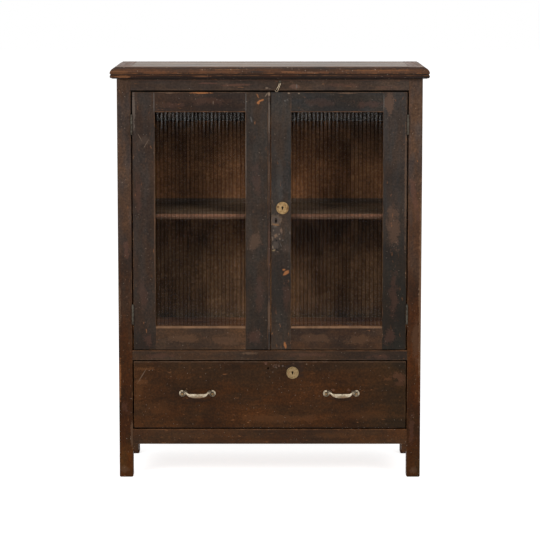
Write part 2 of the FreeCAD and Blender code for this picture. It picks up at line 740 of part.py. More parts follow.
def bow():
    """The bow, with its bar's front rounded from top to bottom."""
    reach = PULL_UPPER[0][0]
    from_above = prism(bow_plan(), Z_AXIS * (2 * PULL_REACH))
    from_above.translate(at(0, 0, -PULL_REACH))
    from_front = prism(bow_face(), Y_AXIS * -PULL_REACH)
    axis_y = PULL_CROWN_RADIUS - PULL_REACH
    axis_z = (PULL_UPPER[3] + PULL_LOWER[3]) / 2
    crown = rod(PULL_CROWN_RADIUS, at(-reach, axis_y, axis_z), at(reach, axis_y, axis_z))
    crown = crown.fuse(block((-reach, reach), (axis_y, 0), (-PULL_REACH, PULL_REACH)))
    return from_above.common(from_front).common(crown)


def pull_foot(offset):
    """A round dished foot of the pull."""
    rim = PULL_FOOT_RADIUS - PULL_FOOT_RIM
    floor = PULL_FOOT_HEIGHT - PULL_FOOT_DISH
    outline = (
        (0, 0),
        (PULL_FOOT_RADIUS, 0),
        (PULL_FOOT_RADIUS, -PULL_FOOT_HEIGHT),
        (rim, -PULL_FOOT_HEIGHT),
        (rim, -floor),
        (0, -floor),
    )
    return turned(outline, (offset, 0))


def drawer_pull():
    """One bow pull about its own middle."""
    half = PULL_FOOT_SPACING / 2
    return bow().fuse([pull_foot(-half), pull_foot(half)])


def placed_pull(shape, x):
    moved = shape.copy()
    moved.translate(at(x, 0, PULL_Z))
    return moved


def drawer_front():
    """The thick front board, rebated behind each end for the sides."""
    front = block((-DRAWER_X, DRAWER_X), (0, DRAWER_FRONT_THICKNESS), DRAWER_Z)
    inner = DRAWER_X - DRAWER_SIDE_THICKNESS
    bottom_top = DRAWER_Z[0] + DRAWER_BOTTOM_THICKNESS
    rebate_y = (DRAWER_REBATE_Y, DRAWER_FRONT_THICKNESS)
    rebate = block((inner, DRAWER_X), rebate_y, (bottom_top, DRAWER_SIDE_TOP))
    front = front.cut(rebate).cut(mirrored(rebate))
    old_hole = rod(
        OLD_HANDLE_HOLE_RADIUS,
        at(OLD_HANDLE_HOLE[0], -1, OLD_HANDLE_HOLE[1]),
        at(OLD_HANDLE_HOLE[0], DRAWER_FRONT_THICKNESS + 1, OLD_HANDLE_HOLE[1]),
    )
    return front.cut(old_hole).cut(key_slot(DRAWER_LOCK, (-1, DRAWER_FRONT_THICKNESS + 1)))


def drawer_side():
    """The right side of the drawer, from the rebate in the front to the back."""
    x = (DRAWER_X - DRAWER_SIDE_THICKNESS, DRAWER_X)
    z = (DRAWER_Z[0] + DRAWER_BOTTOM_THICKNESS, DRAWER_SIDE_TOP)
    return block(x, (DRAWER_REBATE_Y, DRAWER_BACK_Y), z)


def drawer_back():
    reach = DRAWER_X - DRAWER_SIDE_THICKNESS
    y = (DRAWER_BACK_Y - DRAWER_SIDE_THICKNESS, DRAWER_BACK_Y)
    return block((-reach, reach), y, (DRAWER_Z[0] + DRAWER_BOTTOM_THICKNESS, DRAWER_BACK_TOP))


def drawer_bottom():
    z = (DRAWER_Z[0], DRAWER_Z[0] + DRAWER_BOTTOM_THICKNESS)
    return block((-DRAWER_X, DRAWER_X), (DRAWER_FRONT_THICKNESS, DRAWER_BACK_Y), z)


def drawer_runner(posts):
    """The right runner: a ledge under the drawer with an upright guide beside it."""
    back_rail_y = BACK_BOARD_Y - RAIL_THICKNESS
    y = (RAIL_THICKNESS, back_rail_y)
    low = RUNNER_TOP - RUNNER_THICKNESS
    ledge = block((RUNNER_X, SIDE_RAIL_X), y, (low, RUNNER_TOP))
    guide = block((GUIDE_X, SIDE_RAIL_X), y, (low, GUIDE_TOP))
    runner = ledge.fuse(guide).removeSplitter()
    for post in posts:
        runner = runner.cut(post)
    return runner


def drawer_stop():
    """The small block on the right runner that stops the drawer when it is shut."""
    start = DRAWER_BACK_Y + STOP_GAP
    y = (start, BACK_BOARD_Y - RAIL_THICKNESS)
    return block(STOP_BLOCK, y, (RUNNER_TOP, RUNNER_TOP + STOP_BLOCK_HEIGHT))


def wire_hook():
    """One wire bent over the nail, with two strands side by side and a short upturned end."""
    nail = at(NAIL_XZ[0], HOOK_Y, NAIL_XZ[1])
    bend = HOOK_EYE_RADIUS * math.tan(math.pi / 8)
    eye = (
        (-HOOK_EYE_RADIUS, bend),
        (-bend, HOOK_EYE_RADIUS),
        (bend, HOOK_EYE_RADIUS),
        (HOOK_EYE_RADIUS, bend),
    )
    bends = tuple(reversed(HOOK_LEFT_STRAND)) + eye + HOOK_RIGHT_STRAND
    places = [nail + at(x, 0, z) for x, z in bends]
    across = (places[1] - places[0]).normalize().cross(Y_AXIS)
    corner_radius = HOOK_WIRE_RADIUS / math.cos(math.pi / HOOK_WIRE_SIDES)
    corners = []
    for number in range(HOOK_WIRE_SIDES + 1):
        turn = math.pi * (2 * number + 1) / HOOK_WIRE_SIDES
        sideways = across * (corner_radius * math.sin(turn))
        corners.append(places[0] + sideways + Y_AXIS * (corner_radius * math.cos(turn)))
    solid, tilted, mitred = True, False, 1
    return Part.makePolygon(places).makePipeShell([Part.makePolygon(corners)], solid, tilted, mitred)


def hook_nail():
    """The flat-headed nail that the hook hangs from."""
    front = HOOK_Y - HOOK_WIRE_RADIUS - SLIDE_CLEARANCE
    outline = (
        (0, NAIL_DEPTH),
        (NAIL_RADIUS, NAIL_DEPTH),
        (NAIL_RADIUS, front),
        (NAIL_HEAD_RADIUS, front),
        (NAIL_HEAD_RADIUS, front - NAIL_HEAD_HEIGHT),
        (0, front - NAIL_HEAD_HEIGHT),
    )
    return turned(outline, NAIL_XZ)


def build_carcass():
    nail = hook_nail()
    top_rail = cross_rail(TOP_RAIL, 0, RAIL_THICKNESS).cut(nail)
    middle_rail = cross_rail(MIDDLE_RAIL, 0, MIDDLE_RAIL_DEPTH).cut(bolt_mortise())
    bottom_rail = cross_rail(BOTTOM_RAIL, 0, RAIL_THICKNESS)
    back_rail_y = BACK_BOARD_Y - RAIL_THICKNESS
    back_rails = [cross_rail(z, back_rail_y, RAIL_THICKNESS) for z in (BOTTOM_RAIL, MIDDLE_RAIL, TOP_RAIL)]
    side_rails = [
        side_rail(BOTTOM_RAIL, False, True),
        side_rail(MIDDLE_RAIL, True, True),
        side_rail(TOP_RAIL, True, False),
    ]
    side_panels = [side_panel(BOTTOM_RAIL, MIDDLE_RAIL), side_panel(MIDDLE_RAIL, TOP_RAIL)]
    sides = side_rails + side_panels
    right_front = front_post([top_rail, middle_rail, bottom_rail] + sides)
    right_back = back_post(back_rails + sides)
    posts = [right_front, right_back, mirrored(right_front), mirrored(right_back)]
    save("post_front_right", right_front)
    save("post_front_left", mirrored(right_front))
    save("post_back_right", right_back)
    save("post_back_left", mirrored(right_back))
    save("rail_front_top", top_rail)
    save("rail_front_middle", middle_rail)
    save("rail_front_bottom", bottom_rail)
    save("rails_back", group(back_rails))
    save("rails_side_right", group(side_rails))
    save("rails_side_left", group([mirrored(rail) for rail in side_rails]))
    save("side_panels_right", group(side_panels))
    save("side_panels_left", group([mirrored(panel) for panel in side_panels]))
    save("back_boards", group(back_boards()))
    bracket = foot_bracket()
    save("foot_brackets", group([bracket, mirrored(bracket)]))
    save("cabinet_floor", cabinet_floor(posts))
    save("floor_battens", group(side_battens(FLOOR_Z[0]) + [front_batten()]))
    save("shelf", shelf(posts))
    save("shelf_battens", group(side_battens(SHELF_Z[0])))
    save("door_stop_board", stop_board())
    runner = drawer_runner([right_front, right_back])
    save("drawer_runner_right", runner)
    save("drawer_runner_left", mirrored(runner))
    stop = drawer_stop()
    save("drawer_stops", group([stop, mirrored(stop)]))
    save("wire_hook_nail", nail)
    save("wire_hook", wire_hook())


def build_top():
    side = side_moulding()
    save("moulding_front", front_moulding())
    save("moulding_right", side)
    save("moulding_left", mirrored(side))
    save("top_boards", group(top_boards()))
    save("top_back_batten", top_back_batten())


def build_doors():
    left_outer = (-DOOR_OUTER_X, LEFT_DOOR_EDGE)
    stiles, rails = door_frame(left_outer, LEFT_GLASS_X, MEETING_BEAD_WIDTH)
    save("left_door_hinge_stile", stiles[0])
    save("left_door_meeting_stile", stiles[1])
    save("left_door_top_rail", rails[0])
    save("left_door_bottom_rail", rails[1])
    save("left_door_meeting_bead", meeting_bead())
    save("left_door_glass", ribbed_glass(LEFT_GLASS_X))
    save("left_door_glazing_beads", group(glazing_beads(LEFT_GLASS_X)))
    right_outer = (RIGHT_DOOR_EDGE, DOOR_OUTER_X)
    stiles, rails = door_frame(right_outer, RIGHT_GLASS_X, 0)
    through = (-1, DOOR_THICKNESS + 1)
    old_keyhole = keyhole(OLD_KEYHOLE, OLD_KEYHOLE_WIDTH, OLD_KEYHOLE_HEIGHT, through)
    save("right_door_meeting_stile", stiles[0].cut(key_slot(DOOR_LOCK, through)).cut(old_keyhole))
    save("right_door_hinge_stile", stiles[1])
    save("right_door_top_rail", rails[0])
    save("right_door_bottom_rail", rails[1])
    save("right_door_glass", ribbed_glass(RIGHT_GLASS_X))
    save("right_door_glazing_beads", group(glazing_beads(RIGHT_GLASS_X)))
    save("door_lock_rose", lock_rose(DOOR_LOCK))
    save("door_lock_case", door_lock_case())
    save("door_lock_bolt", door_lock_bolt())


def build_hinges():
    post_leaves = [post_leaf(low) for low in HINGE_Z]
    door_leaves = [door_leaf(low) for low in HINGE_Z]
    save("hinge_leaves_posts", group(post_leaves + [mirrored(leaf) for leaf in post_leaves]))
    save("right_door_hinge_leaves", group(door_leaves))
    save("left_door_hinge_leaves", group([mirrored(leaf) for leaf in door_leaves]))


def build_drawer():
    pull = drawer_pull()
    save("drawer_pulls", group([placed_pull(pull, x) for x in PULL_X]))
    save("drawer_front", drawer_front())
    side = drawer_side()
    save("drawer_side_right", side)
    save("drawer_side_left", mirrored(side))
    save("drawer_back", drawer_back())
    save("drawer_bottom", drawer_bottom())
    save("drawer_lock_rose", lock_rose(DRAWER_LOCK))
    save("drawer_lock_case", drawer_lock_case())
    save("drawer_lock_bolt", drawer_lock_bolt())


os.makedirs("parts", exist_ok=True)
build_carcass()
build_top()
build_doors()
build_hinges()
build_drawer()
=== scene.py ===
import inspect
import math
from functools import partial

import bmesh
import bpy
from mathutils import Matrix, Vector


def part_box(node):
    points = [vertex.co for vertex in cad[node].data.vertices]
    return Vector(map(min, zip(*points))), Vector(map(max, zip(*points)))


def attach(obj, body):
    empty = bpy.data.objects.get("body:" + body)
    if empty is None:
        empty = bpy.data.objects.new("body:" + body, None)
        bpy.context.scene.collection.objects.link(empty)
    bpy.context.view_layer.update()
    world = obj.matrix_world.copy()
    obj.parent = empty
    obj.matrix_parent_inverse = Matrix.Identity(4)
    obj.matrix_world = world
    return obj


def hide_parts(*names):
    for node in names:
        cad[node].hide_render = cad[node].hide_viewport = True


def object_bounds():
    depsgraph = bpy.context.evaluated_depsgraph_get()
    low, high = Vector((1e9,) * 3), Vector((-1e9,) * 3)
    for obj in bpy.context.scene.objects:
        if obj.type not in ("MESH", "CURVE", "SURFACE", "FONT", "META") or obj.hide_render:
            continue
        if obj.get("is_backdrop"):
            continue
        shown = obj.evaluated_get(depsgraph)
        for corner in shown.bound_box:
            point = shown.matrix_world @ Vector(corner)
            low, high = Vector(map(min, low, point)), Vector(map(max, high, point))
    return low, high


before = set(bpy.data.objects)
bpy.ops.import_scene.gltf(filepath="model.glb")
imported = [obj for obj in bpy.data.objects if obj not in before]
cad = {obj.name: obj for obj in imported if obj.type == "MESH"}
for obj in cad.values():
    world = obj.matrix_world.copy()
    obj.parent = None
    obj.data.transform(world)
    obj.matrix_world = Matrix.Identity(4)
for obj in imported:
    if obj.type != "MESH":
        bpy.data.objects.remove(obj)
cad_low, cad_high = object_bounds()


# --- The studio -----------------------------------------------------------------------------------
# The cabinet stands on a plain pale floor that runs out into white. The light is soft and comes from
# in front and above, and the camera stands seven metres off, a little higher than the cabinet's top.
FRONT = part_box("rail_front_bottom")[0].y
CAMERA_PLACE = (0.0007, FRONT - 7.0, 1.57)
CAMERA_TILT = math.radians(7.23)
SENSOR_WIDTH, LENS, SHIFT = 36.0, 157.1, -0.03
FLOOR_SIZE, FLOOR_MIDDLE = 40, (0, 12, 0)
FLOOR_TONES = (0.86, 0.86, 0.86), (0.9, 0.9, 0.9)
# How bright floor and world are: as light on the cabinet, and where they are seen.
FLOOR_GLOW = (0.05, 0.8)
WORLD_LIGHT = (0.34, 1.0)
WHITE = (1, 1, 1, 1)
LAMP_SIZE = 2.0
LAMPS = (("left_softbox", (-2.4, -3.6, 2.9), 100.0), ("right_softbox", (2.5, -3.6, 2.7), 72.0))


def add_node(tree, kind, feeds=None, **settings):
    """Adds a shader node, makes its settings, and joins or sets the inputs named in feeds."""
    step = tree.nodes.new("ShaderNode" + kind)
    for name, value in settings.items():
        setattr(step, name, value)
    for key, value in (feeds or {}).items():
        if isinstance(value, bpy.types.NodeSocket):
            tree.links.new(value, step.inputs[key])
        else:
            step.inputs[key].default_value = value
    return step


def tree_of(terms):
    """The node tree that the first socket among some terms belongs to."""
    return next(term.id_data for term in terms if isinstance(term, bpy.types.NodeSocket))


def maths(how, *terms, clamp=False):
    """One Math node on sockets or plain numbers; gives back its result."""
    return add_node(tree_of(terms), "Math", dict(enumerate(terms)), operation=how,
                    use_clamp=clamp).outputs[0]


def rescale(value, low, high, to_low=0.0, to_high=1.0, smooth=True):
    """Stretches a value from one range to another, clamped at both ends."""
    return add_node(value.id_data, "MapRange",
                    {"Value": value, "From Min": low, "From Max": high, "To Min": to_low,
                     "To Max": to_high},
                    interpolation_type="SMOOTHSTEP" if smooth else "LINEAR").outputs[0]


def over(cover, under, amount, how="MIX"):
    """Lays one colour over another by an amount, as a coat of stain or a layer of dust."""
    cover, under = [(*tint, 1) if isinstance(tint, tuple) else tint for tint in (cover, under)]
    return add_node(amount.id_data, "Mix", {0: amount, 6: under, 7: cover}, data_type="RGBA",
                    blend_type=how).outputs[2]


def new_material(name):
    """A new material with no nodes yet but one, which gives a place on the object."""
    material = bpy.data.materials.new(name)
    material.use_nodes = True
    material.node_tree.nodes.clear()
    return material, add_node(material.node_tree, "TexCoord").outputs["Object"]


def surface(material, kind, feeds):
    """Ends a material with its last shader, and gives the material back."""
    shader = add_node(material.node_tree, kind, feeds)
    add_node(material.node_tree, "OutputMaterial", {"Surface": shader.outputs[0]})
    return material


def glow(tree, kind, strengths):
    """White light with one strength for what it falls on, and one where a camera, glossy or
    transmitted ray looks, so that all three see the same white."""
    rays = add_node(tree, "LightPath").outputs
    looked_at = maths("MAXIMUM", maths("MAXIMUM", rays["Is Camera Ray"], rays["Is Glossy Ray"]),
                      rays["Is Transmission Ray"])
    strength = rescale(looked_at, 0.0, 1.0, *strengths, smooth=False)
    return add_node(tree, kind, {"Color": WHITE, "Strength": strength}).outputs[0]


bpy.ops.mesh.primitive_plane_add(size=FLOOR_SIZE, location=FLOOR_MIDDLE)
studio_floor = bpy.context.object
studio_floor.name = "studio_floor"
bpy.ops.object.transform_apply(location=True)
floor_paint, spot = new_material("pale_studio_floor")
tree = floor_paint.node_tree
uneven = add_node(tree, "TexNoise", {"Vector": spot, "Scale": 3.0, "Detail": 2.0}).outputs["Fac"]
matt = add_node(tree, "BsdfDiffuse", {"Color": over(FLOOR_TONES[1], FLOOR_TONES[0], uneven)})
surface(floor_paint, "AddShader", {0: matt.outputs[0], 1: glow(tree, "Emission", FLOOR_GLOW)})
studio_floor.data.materials.append(floor_paint)
studio_floor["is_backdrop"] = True

world = bpy.data.worlds.new("white_studio")
bpy.context.scene.world = world
world.use_nodes = True
world.node_tree.nodes.clear()
add_node(world.node_tree, "OutputWorld", {"Surface": glow(world.node_tree, "Background", WORLD_LIGHT)})

cabinet_middle = Vector((0, 0, 0.7))
for lamp_name, stand, power in LAMPS:
    bpy.ops.object.light_add(type="AREA", location=stand)
    lamp = bpy.context.object
    lamp.name = lamp_name
    lamp.data.size = LAMP_SIZE
    lamp.data.energy = power
    lamp.rotation_euler = (cabinet_middle - Vector(stand)).to_track_quat("-Z", "Y").to_euler()

bpy.ops.object.camera_add(location=CAMERA_PLACE, rotation=(math.pi / 2 - CAMERA_TILT, 0, 0))
camera = bpy.context.object
camera.name = "photograph_camera"
camera.data.sensor_width = SENSOR_WIDTH
camera.data.lens = LENS
camera.data.shift_y = SHIFT
bpy.context.scene.camera = camera
bpy.context.scene.view_settings.view_transform = "Standard"


# --- The four posts -------------------------------------------------------------------------------
# Square softwood posts, 41 mm each way, that run from the floor to the top as legs. They are planed,
# stained dark brown all over and rubbed through to brown wood along their arrises.
RUN = {"x": (0.05, 1, 1), "y": (1, 0.05, 1), "z": (1, 1, 0.05)}
BROWN_WOOD = (0.15, 0.075, 0.034)
ORANGE_WOOD = (0.27, 0.11, 0.042)
PALE_DUST = (0.33, 0.25, 0.19)
REDDISH = (0.105, 0.046, 0.03)
RUBBED = (0.125, 0.072, 0.043)
ORANGE = (0.3, 0.115, 0.04)
PALE = (0.23, 0.165, 0.115)
GREY_DUST = (0.12, 0.11, 0.1)
NEARLY_BLACK = (0.008, 0.006, 0.005)
# Marks fade out between these distances ahead of a board's back face, and reach this deep.
BACK_CLEAR, MARKS_FULL = 0.0006, 0.003
MARK_DEPTH = 0.012
BOARD_SHADE = (0.72, 0.68, 0.64)
GRAIN_RELIEF = 0.0004

# Sums on sockets and plain numbers.
times, plus, minus, divided, least, most = (
    partial(maths, how) for how in ("MULTIPLY", "ADD", "SUBTRACT", "DIVIDE", "MINIMUM", "MAXIMUM"))


def spread(value, low, high):
    """Spreads a value from 0 to 1 evenly over a range."""
    return rescale(value, 0.0, 1.0, low, high, smooth=False)


def vectors(how, *terms):
    """One Vector Math node; gives back its vector."""
    return add_node(tree_of(terms), "VectorMath", dict(enumerate(terms)), operation=how).outputs[0]


def vector_of(x, y, z):
    """A vector from three values."""
    return add_node(tree_of((x, y, z)), "CombineXYZ", {0: x, 1: y, 2: z}).outputs[0]


def split(place):
    """A place's X, Y and Z."""
    return add_node(place.id_data, "SeparateXYZ", {0: place}).outputs


def mottle(where, scale, detail=3.0, rough=0.55):
    """A plain noise value."""
    noise = {"Vector": where, "Scale": scale, "Detail": detail, "Roughness": rough}
    return add_node(where.id_data, "TexNoise", noise).outputs["Fac"]


def lot(number):
    """A steady random value from 0 to 1 for each whole number, as for each board or rib."""
    return add_node(number.id_data, "TexWhiteNoise", {"W": number}, noise_dimensions="1D").outputs[0]


def scattered(where, radius, share):
    """Small spots in the cells of a Voronoi pattern: 1 inside a spot. A share of the cells has one."""
    cells = add_node(where.id_data, "TexVoronoi", {"Vector": where, "Scale": 1.0}).outputs
    chosen = add_node(where.id_data, "SeparateColor", {0: cells["Color"]}).outputs
    reach = spread(chosen[1], radius * 0.35, radius)
    spot = minus(1.0, divided(cells["Distance"], reach), clamp=True)
    kept = times(maths("LESS_THAN", chosen[0], share), spread(chosen[2], 0.2, 1.0))
    return times(rescale(spot, 0.0, 0.45), kept)


def shader_group(build):
    """Turns a function into a node group: its arguments are the inputs, and it names the outputs."""
    group = bpy.data.node_groups.new(build.__name__, "ShaderNodeTree")
    takes = inspect.signature(build).parameters
    for title, taken in takes.items():
        kind = "NodeSocketVector" if isinstance(taken.default, tuple) else "NodeSocketFloat"
        socket = group.interface.new_socket(title, in_out="INPUT", socket_type=kind)
        socket.default_value = taken.default
    gives = build(*group.nodes.new("NodeGroupInput").outputs[:len(takes)])
    out = group.nodes.new("NodeGroupOutput")
    for title, value in gives.items():
        group.interface.new_socket(title, in_out="OUTPUT", socket_type="NodeSocketFloat")
        group.links.new(value, out.inputs[title])
    return group


def use_group(group, **feeds):
    """Places a group in the tree of its feeds and gives back its outputs."""
    return add_node(tree_of(feeds.values()), "Group", feeds, node_tree=group).outputs


@shader_group
def straight_grain(place=(0, 0, 0), run=(1, 1, 0.05), seed=0.0):
    """Straight softwood grain: fine lines along the board, broader bands, and clouds in the stain."""
    place = vectors("ADD", place, vector_of(seed, times(seed, 1.7), times(seed, 2.3)))
    drawn_out = vectors("MULTIPLY", place, run)
    reach = vectors("ADD", vectors("MULTIPLY", run, (0.7, 0.7, 0.7)), (0.3, 0.3, 0.3))
    half_drawn = vectors("MULTIPLY", place, reach)
    fibre = mottle(drawn_out, 620.0, 4.0, 0.6)
    band = mottle(drawn_out, 95.0, 3.0, 0.5)
    return {"streak": rescale(plus(times(band, 0.6), times(fibre, 0.4)), 0.36, 0.66),
            "cloud": rescale(mottle(half_drawn, 26.0, 6.0, 0.62), 0.36, 0.64),
            "tone": rescale(mottle(place, 6.0, 4.0, 0.6), 0.3, 0.7),
            "fibre": fibre}


@shader_group
def arris_wear(place=(0, 0, 0), centre=(0, 0, 0), half=(1, 1, 1), reach=0.006, seed=0.0):
    """Wear along a board's long edges, measured from the board's own box: on its surface the middle one
    of the three distances to the box's sides is the distance to the nearest arris."""
    x, y, z = split(vectors("SUBTRACT", half, vectors("ABSOLUTE", vectors("SUBTRACT", place, centre))))
    nearest = most(least(x, y), least(most(x, y), z))
    jitter = vectors("ADD", place, vector_of(seed, 0.0, seed))
    stretches = rescale(mottle(jitter, 17.0, 4.0, 0.65), 0.42, 0.66, 0.04, 1.0)
    ragged = rescale(mottle(jitter, 300.0, 3.0, 0.65), 0.35, 0.7, 0.15, 1.0)
    worn = minus(1.0, divided(nearest, times(reach, times(stretches, ragged))), clamp=True)
    return {"wear": rescale(worn, 0.0, 0.5), "line": times(rescale(nearest, 0.0026, 0.0006), stretches)}


@shader_group
def small_marks(place=(0, 0, 0), run=(1, 1, 0.05), seed=0.0):
    """Years of use on a stained face: pale specks, orange flecks where the stain has chipped off along
    the grain, thin scratches, and an uneven grit over all of it."""
    place = vectors("ADD", place, vector_of(seed, seed, seed))
    fineness = vectors("ADD", vectors("MULTIPLY", run, (65, 65, 65)), (25, 25, 25))
    along = vectors("MULTIPLY", place, fineness)
    bend = add_node(along.id_data, "TexNoise", {"Vector": along, "Scale": 3.0, "Detail": 3.0})
    flecks = scattered(vectors("ADD", along, bend.outputs["Color"]), 0.2, 0.7)
    lines = [scattered(add_node(place.id_data, "Mapping",
                                {"Vector": place, "Location": (shift, 0, 0), "Rotation": (0, turn, 0),
                                 "Scale": (85, 85, 9)}).outputs[0], 0.05, 0.4)
             for turn, shift in ((0.5, 0.0), (-0.35, 3.0), (1.3, 7.0))]
    return {"specks": scattered(vectors("MULTIPLY", place, (105.0, 105.0, 105.0)), 0.23, 0.6),
            "flecks": times(flecks, rescale(mottle(place, 11.0, 3.0, 0.6), 0.42, 0.58)),
            "scratches": most(most(lines[0], lines[1]), lines[2]),
            "grit": rescale(mottle(place, 160.0, 5.0, 0.7), 0.32, 0.68)}


@shader_group
def torn_rim(place=(0, 0, 0)):
    """The torn rim that every rubbed, chipped or painted-shade place of one board shares."""
    coarse = times(minus(mottle(place, 45.0), 0.5), 0.8)
    return {"tear": plus(coarse, minus(mottle(place, 260.0, 5.0, 0.75), 0.5))}


@shader_group
def rubbed_patch(place=(0, 0, 0), centre=(0, 0, 0), radii=(1, 1, 1), turn=0.0, ragged=0.4, tear=0.0):
    """One rubbed, chipped or stained patch, or one of painted shade, with that rim, turned in the plane
    of the cabinet's front.
    """
    swung = add_node(turn.id_data, "VectorRotate",
                     {"Vector": vectors("SUBTRACT", place, centre), "Angle": turn},
                     rotation_type="Y_AXIS").outputs[0]
    radial = add_node(turn.id_data, "VectorMath", {0: vectors("DIVIDE", swung, radii)},
                      operation="LENGTH").outputs["Value"]
    return {"mask": rescale(plus(radial, times(tear, times(ragged, 4.0))), 1.1, 0.7)}


@shader_group
def level_band(place=(0, 0, 0), low=0.0, high=1.0, soft=0.0005, broken=0.0, tear=0.0, seed=0.0):
    """A level band, as a rubbed edge or a line of painted shade in a groove. Broken makes it come and
    go.
    """
    unsteady = plus(split(place)[2], times(tear, soft))
    from_low = divided(minus(unsteady, low), soft)
    from_high = divided(minus(high, unsteady), soft)
    slid = vectors("ADD", vectors("MULTIPLY", place, (1, 1, 0.2)), vector_of(seed, seed, 0.0))
    gaps = minus(1.0, rescale(mottle(slid, 30.0, 5.0, 0.75), 0.47, 0.62))
    return {"mask": times(times(rescale(from_low, -1.0, 1.0), rescale(from_high, -1.0, 1.0)),
                          minus(1.0, times(broken, gaps)))}


def with_patches(colour, spot, tear, patches, y, depth, ahead=None):
    """Lays patches over a colour: (x, z, half width, half height, tint, strength, ragged, turn), in
    millimetres and degrees on the front. The turn is left out where there is none."""
    for x, z, wide, tall, tint, strength, ragged, *turn in patches:
        mask = use_group(rubbed_patch, place=spot, centre=(x / 1000, y, z / 1000),
                         radii=(wide / 1000, depth, tall / 1000),
                         turn=math.radians(turn[0] if turn else 0), ragged=ragged, tear=tear)["mask"]
        colour = over(tint, colour, times(mask, strength if ahead is None else times(ahead, strength)))
    return colour


def stained(node, along, seed, cool, warm, kind="stain_", warmth=0.0, wear=0.5, reach=0.004,
            shine=0.12, rough=0.5, marks=1.0, streaks=0.3, relief=0.5, fades=(), bands=(),
            patches=(), boards=None, one_sided=False):
    """A node's stained wood: cool and warm stain in clouds, grain, worn arrises, marks and patches.

    fades are (axis, full at, gone at, tint); bands are level lines (low, high, soft, tint, strength,
    broken) in millimetres; boards is (axis, count) where one node is several boards. Bands and patches
    stop short of the back face, and so do upright fades where one_sided is set.
    """
    material, spot = new_material(kind + node)
    low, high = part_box(node)
    grown = spot
    if boards:
        axis = "XYZ".index(boards[0])
        number = maths("FLOOR", divided(minus(split(spot)[axis], low[axis]),
                                        (high[axis] - low[axis]) / boards[1]))
        apart = times(number, 3.1)
        grown = vectors("ADD", spot, vector_of(apart, apart, apart))
    grain = use_group(straight_grain, place=grown, run=RUN[along], seed=seed)
    edges = use_group(arris_wear, place=spot, centre=(low + high) / 2, half=(high - low) / 2,
                      reach=reach, seed=seed)
    small = use_group(small_marks, place=spot, run=RUN[along], seed=seed)
    tear = use_group(torn_rim, place=spot)["tear"]
    colour = over(warm, cool, plus(grain["cloud"], warmth, clamp=True))
    for value, start, full, strength, tint in (
            (grain["streak"], 0.75, 0.0, streaks, (0.62, 0.6, 0.58)),
            (small["grit"], 0.5, 0.0, 0.7, (0.6, 0.57, 0.55)),
            (small["grit"], 0.5, 1.0, 0.7, (1.6, 1.5, 1.4)),
            (grain["tone"], 0.55, 0.0, 0.75, (0.55, 0.53, 0.52)),
            (grain["tone"], 0.5, 1.0, 0.8, (1.4, 1.36, 1.3))):
        colour = over(tint, colour, rescale(value, start, full, 0.0, strength), "MULTIPLY")
    if boards:
        colour = over(BOARD_SHADE, colour, lot(number), "MULTIPLY")
    ahead = rescale(split(spot)[1], high.y - BACK_CLEAR, high.y - MARKS_FULL)
    for axis, start, end, tint in fades:
        amount = rescale(split(spot)[axis], end, start)
        if one_sided and axis == "Z":
            amount = times(amount, ahead)
        colour = over(tint, colour, amount, "MULTIPLY")
    bare = times(most(edges["wear"], times(edges["line"], 0.5)), wear)
    colour = over(BROWN_WOOD, colour, bare)
    for place, (under, top, soft, tint, strength, broken) in enumerate(bands):
        mask = use_group(level_band, place=spot, low=under / 1000, high=top / 1000, soft=soft / 1000,
                         broken=broken, tear=tear, seed=seed + place)["mask"]
        colour = over(tint, colour, times(mask, times(ahead, strength)))
    colour = with_patches(colour, spot, tear, patches, low.y, MARK_DEPTH, ahead)
    for mark, strength, tint in (("flecks", 0.6, ORANGE_WOOD), ("specks", 0.8, PALE_DUST),
                                 ("scratches", 0.5, PALE_DUST)):
        colour = over(tint, colour, times(small[mark], marks * strength))
    gloss = plus(rescale(grain["streak"], 0, 1, rough + 0.08, rough - 0.06), times(bare, 0.15),
                 clamp=True)
    chipped = most(small["scratches"], most(small["flecks"], small["specks"]))
    bump = add_node(material.node_tree, "Bump",
                    {"Strength": relief, "Distance": GRAIN_RELIEF,
                     "Height": minus(grain["fibre"], times(chipped, 0.8))})
    return surface(material, "BsdfPrincipled",
                   {"Base Color": colour, "Roughness": gloss, "Normal": bump.outputs[0],
                    "Specular IOR Level": shine})


SAME_POINT = 0.00001
ON_THE_BOX = 0.00005
SHORTEST_ARRIS = 0.008
FLAT, SHARP = 0.01, 1.0


def pick(thing):
    """Makes one object the only one selected, and the active one."""
    bpy.ops.object.select_all(action="DESELECT")
    thing.select_set(True)
    bpy.context.view_layer.objects.active = thing


def new_form(name, add, stretch=None, **made):
    """Adds a plain form by its operator, names it, and applies its place, turn and size. stretch is
    for the flat forms, whose operators take no scale."""
    bpy.ops.object.select_all(action="DESELECT")
    add(**made)
    form = bpy.context.object
    form.name = name
    if stretch:
        form.scale = stretch
    bpy.ops.object.transform_apply(location=True, rotation=True, scale=True)
    return form


def open_mesh():
    """Opens the active object's mesh with all of it selected."""
    bpy.ops.object.mode_set(mode="EDIT")
    bpy.ops.mesh.select_all(action="SELECT")


def close_mesh(degrees):
    """Closes the mesh and shades it smooth, but for edges sharper than an angle."""
    bpy.ops.object.mode_set(mode="OBJECT")
    bpy.ops.object.shade_smooth_by_angle(angle=math.radians(degrees))


def select_edges(piece, wanted):
    """Selects the edges of the open mesh for which wanted says so."""
    bpy.ops.mesh.select_all(action="DESELECT")
    bpy.ops.mesh.select_mode(type="EDGE")
    shell = bmesh.from_edit_mesh(piece.data)
    for edge in shell.edges:
        edge.select_set(wanted(edge))
    bmesh.update_edit_mesh(piece.data)


def dress(piece, material, body, slot, node=None):
    """Gives a piece its material and body, and the node that it stands for. slot is not used."""
    piece.data.materials.append(material)
    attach(piece, body)
    if node:
        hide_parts(node)


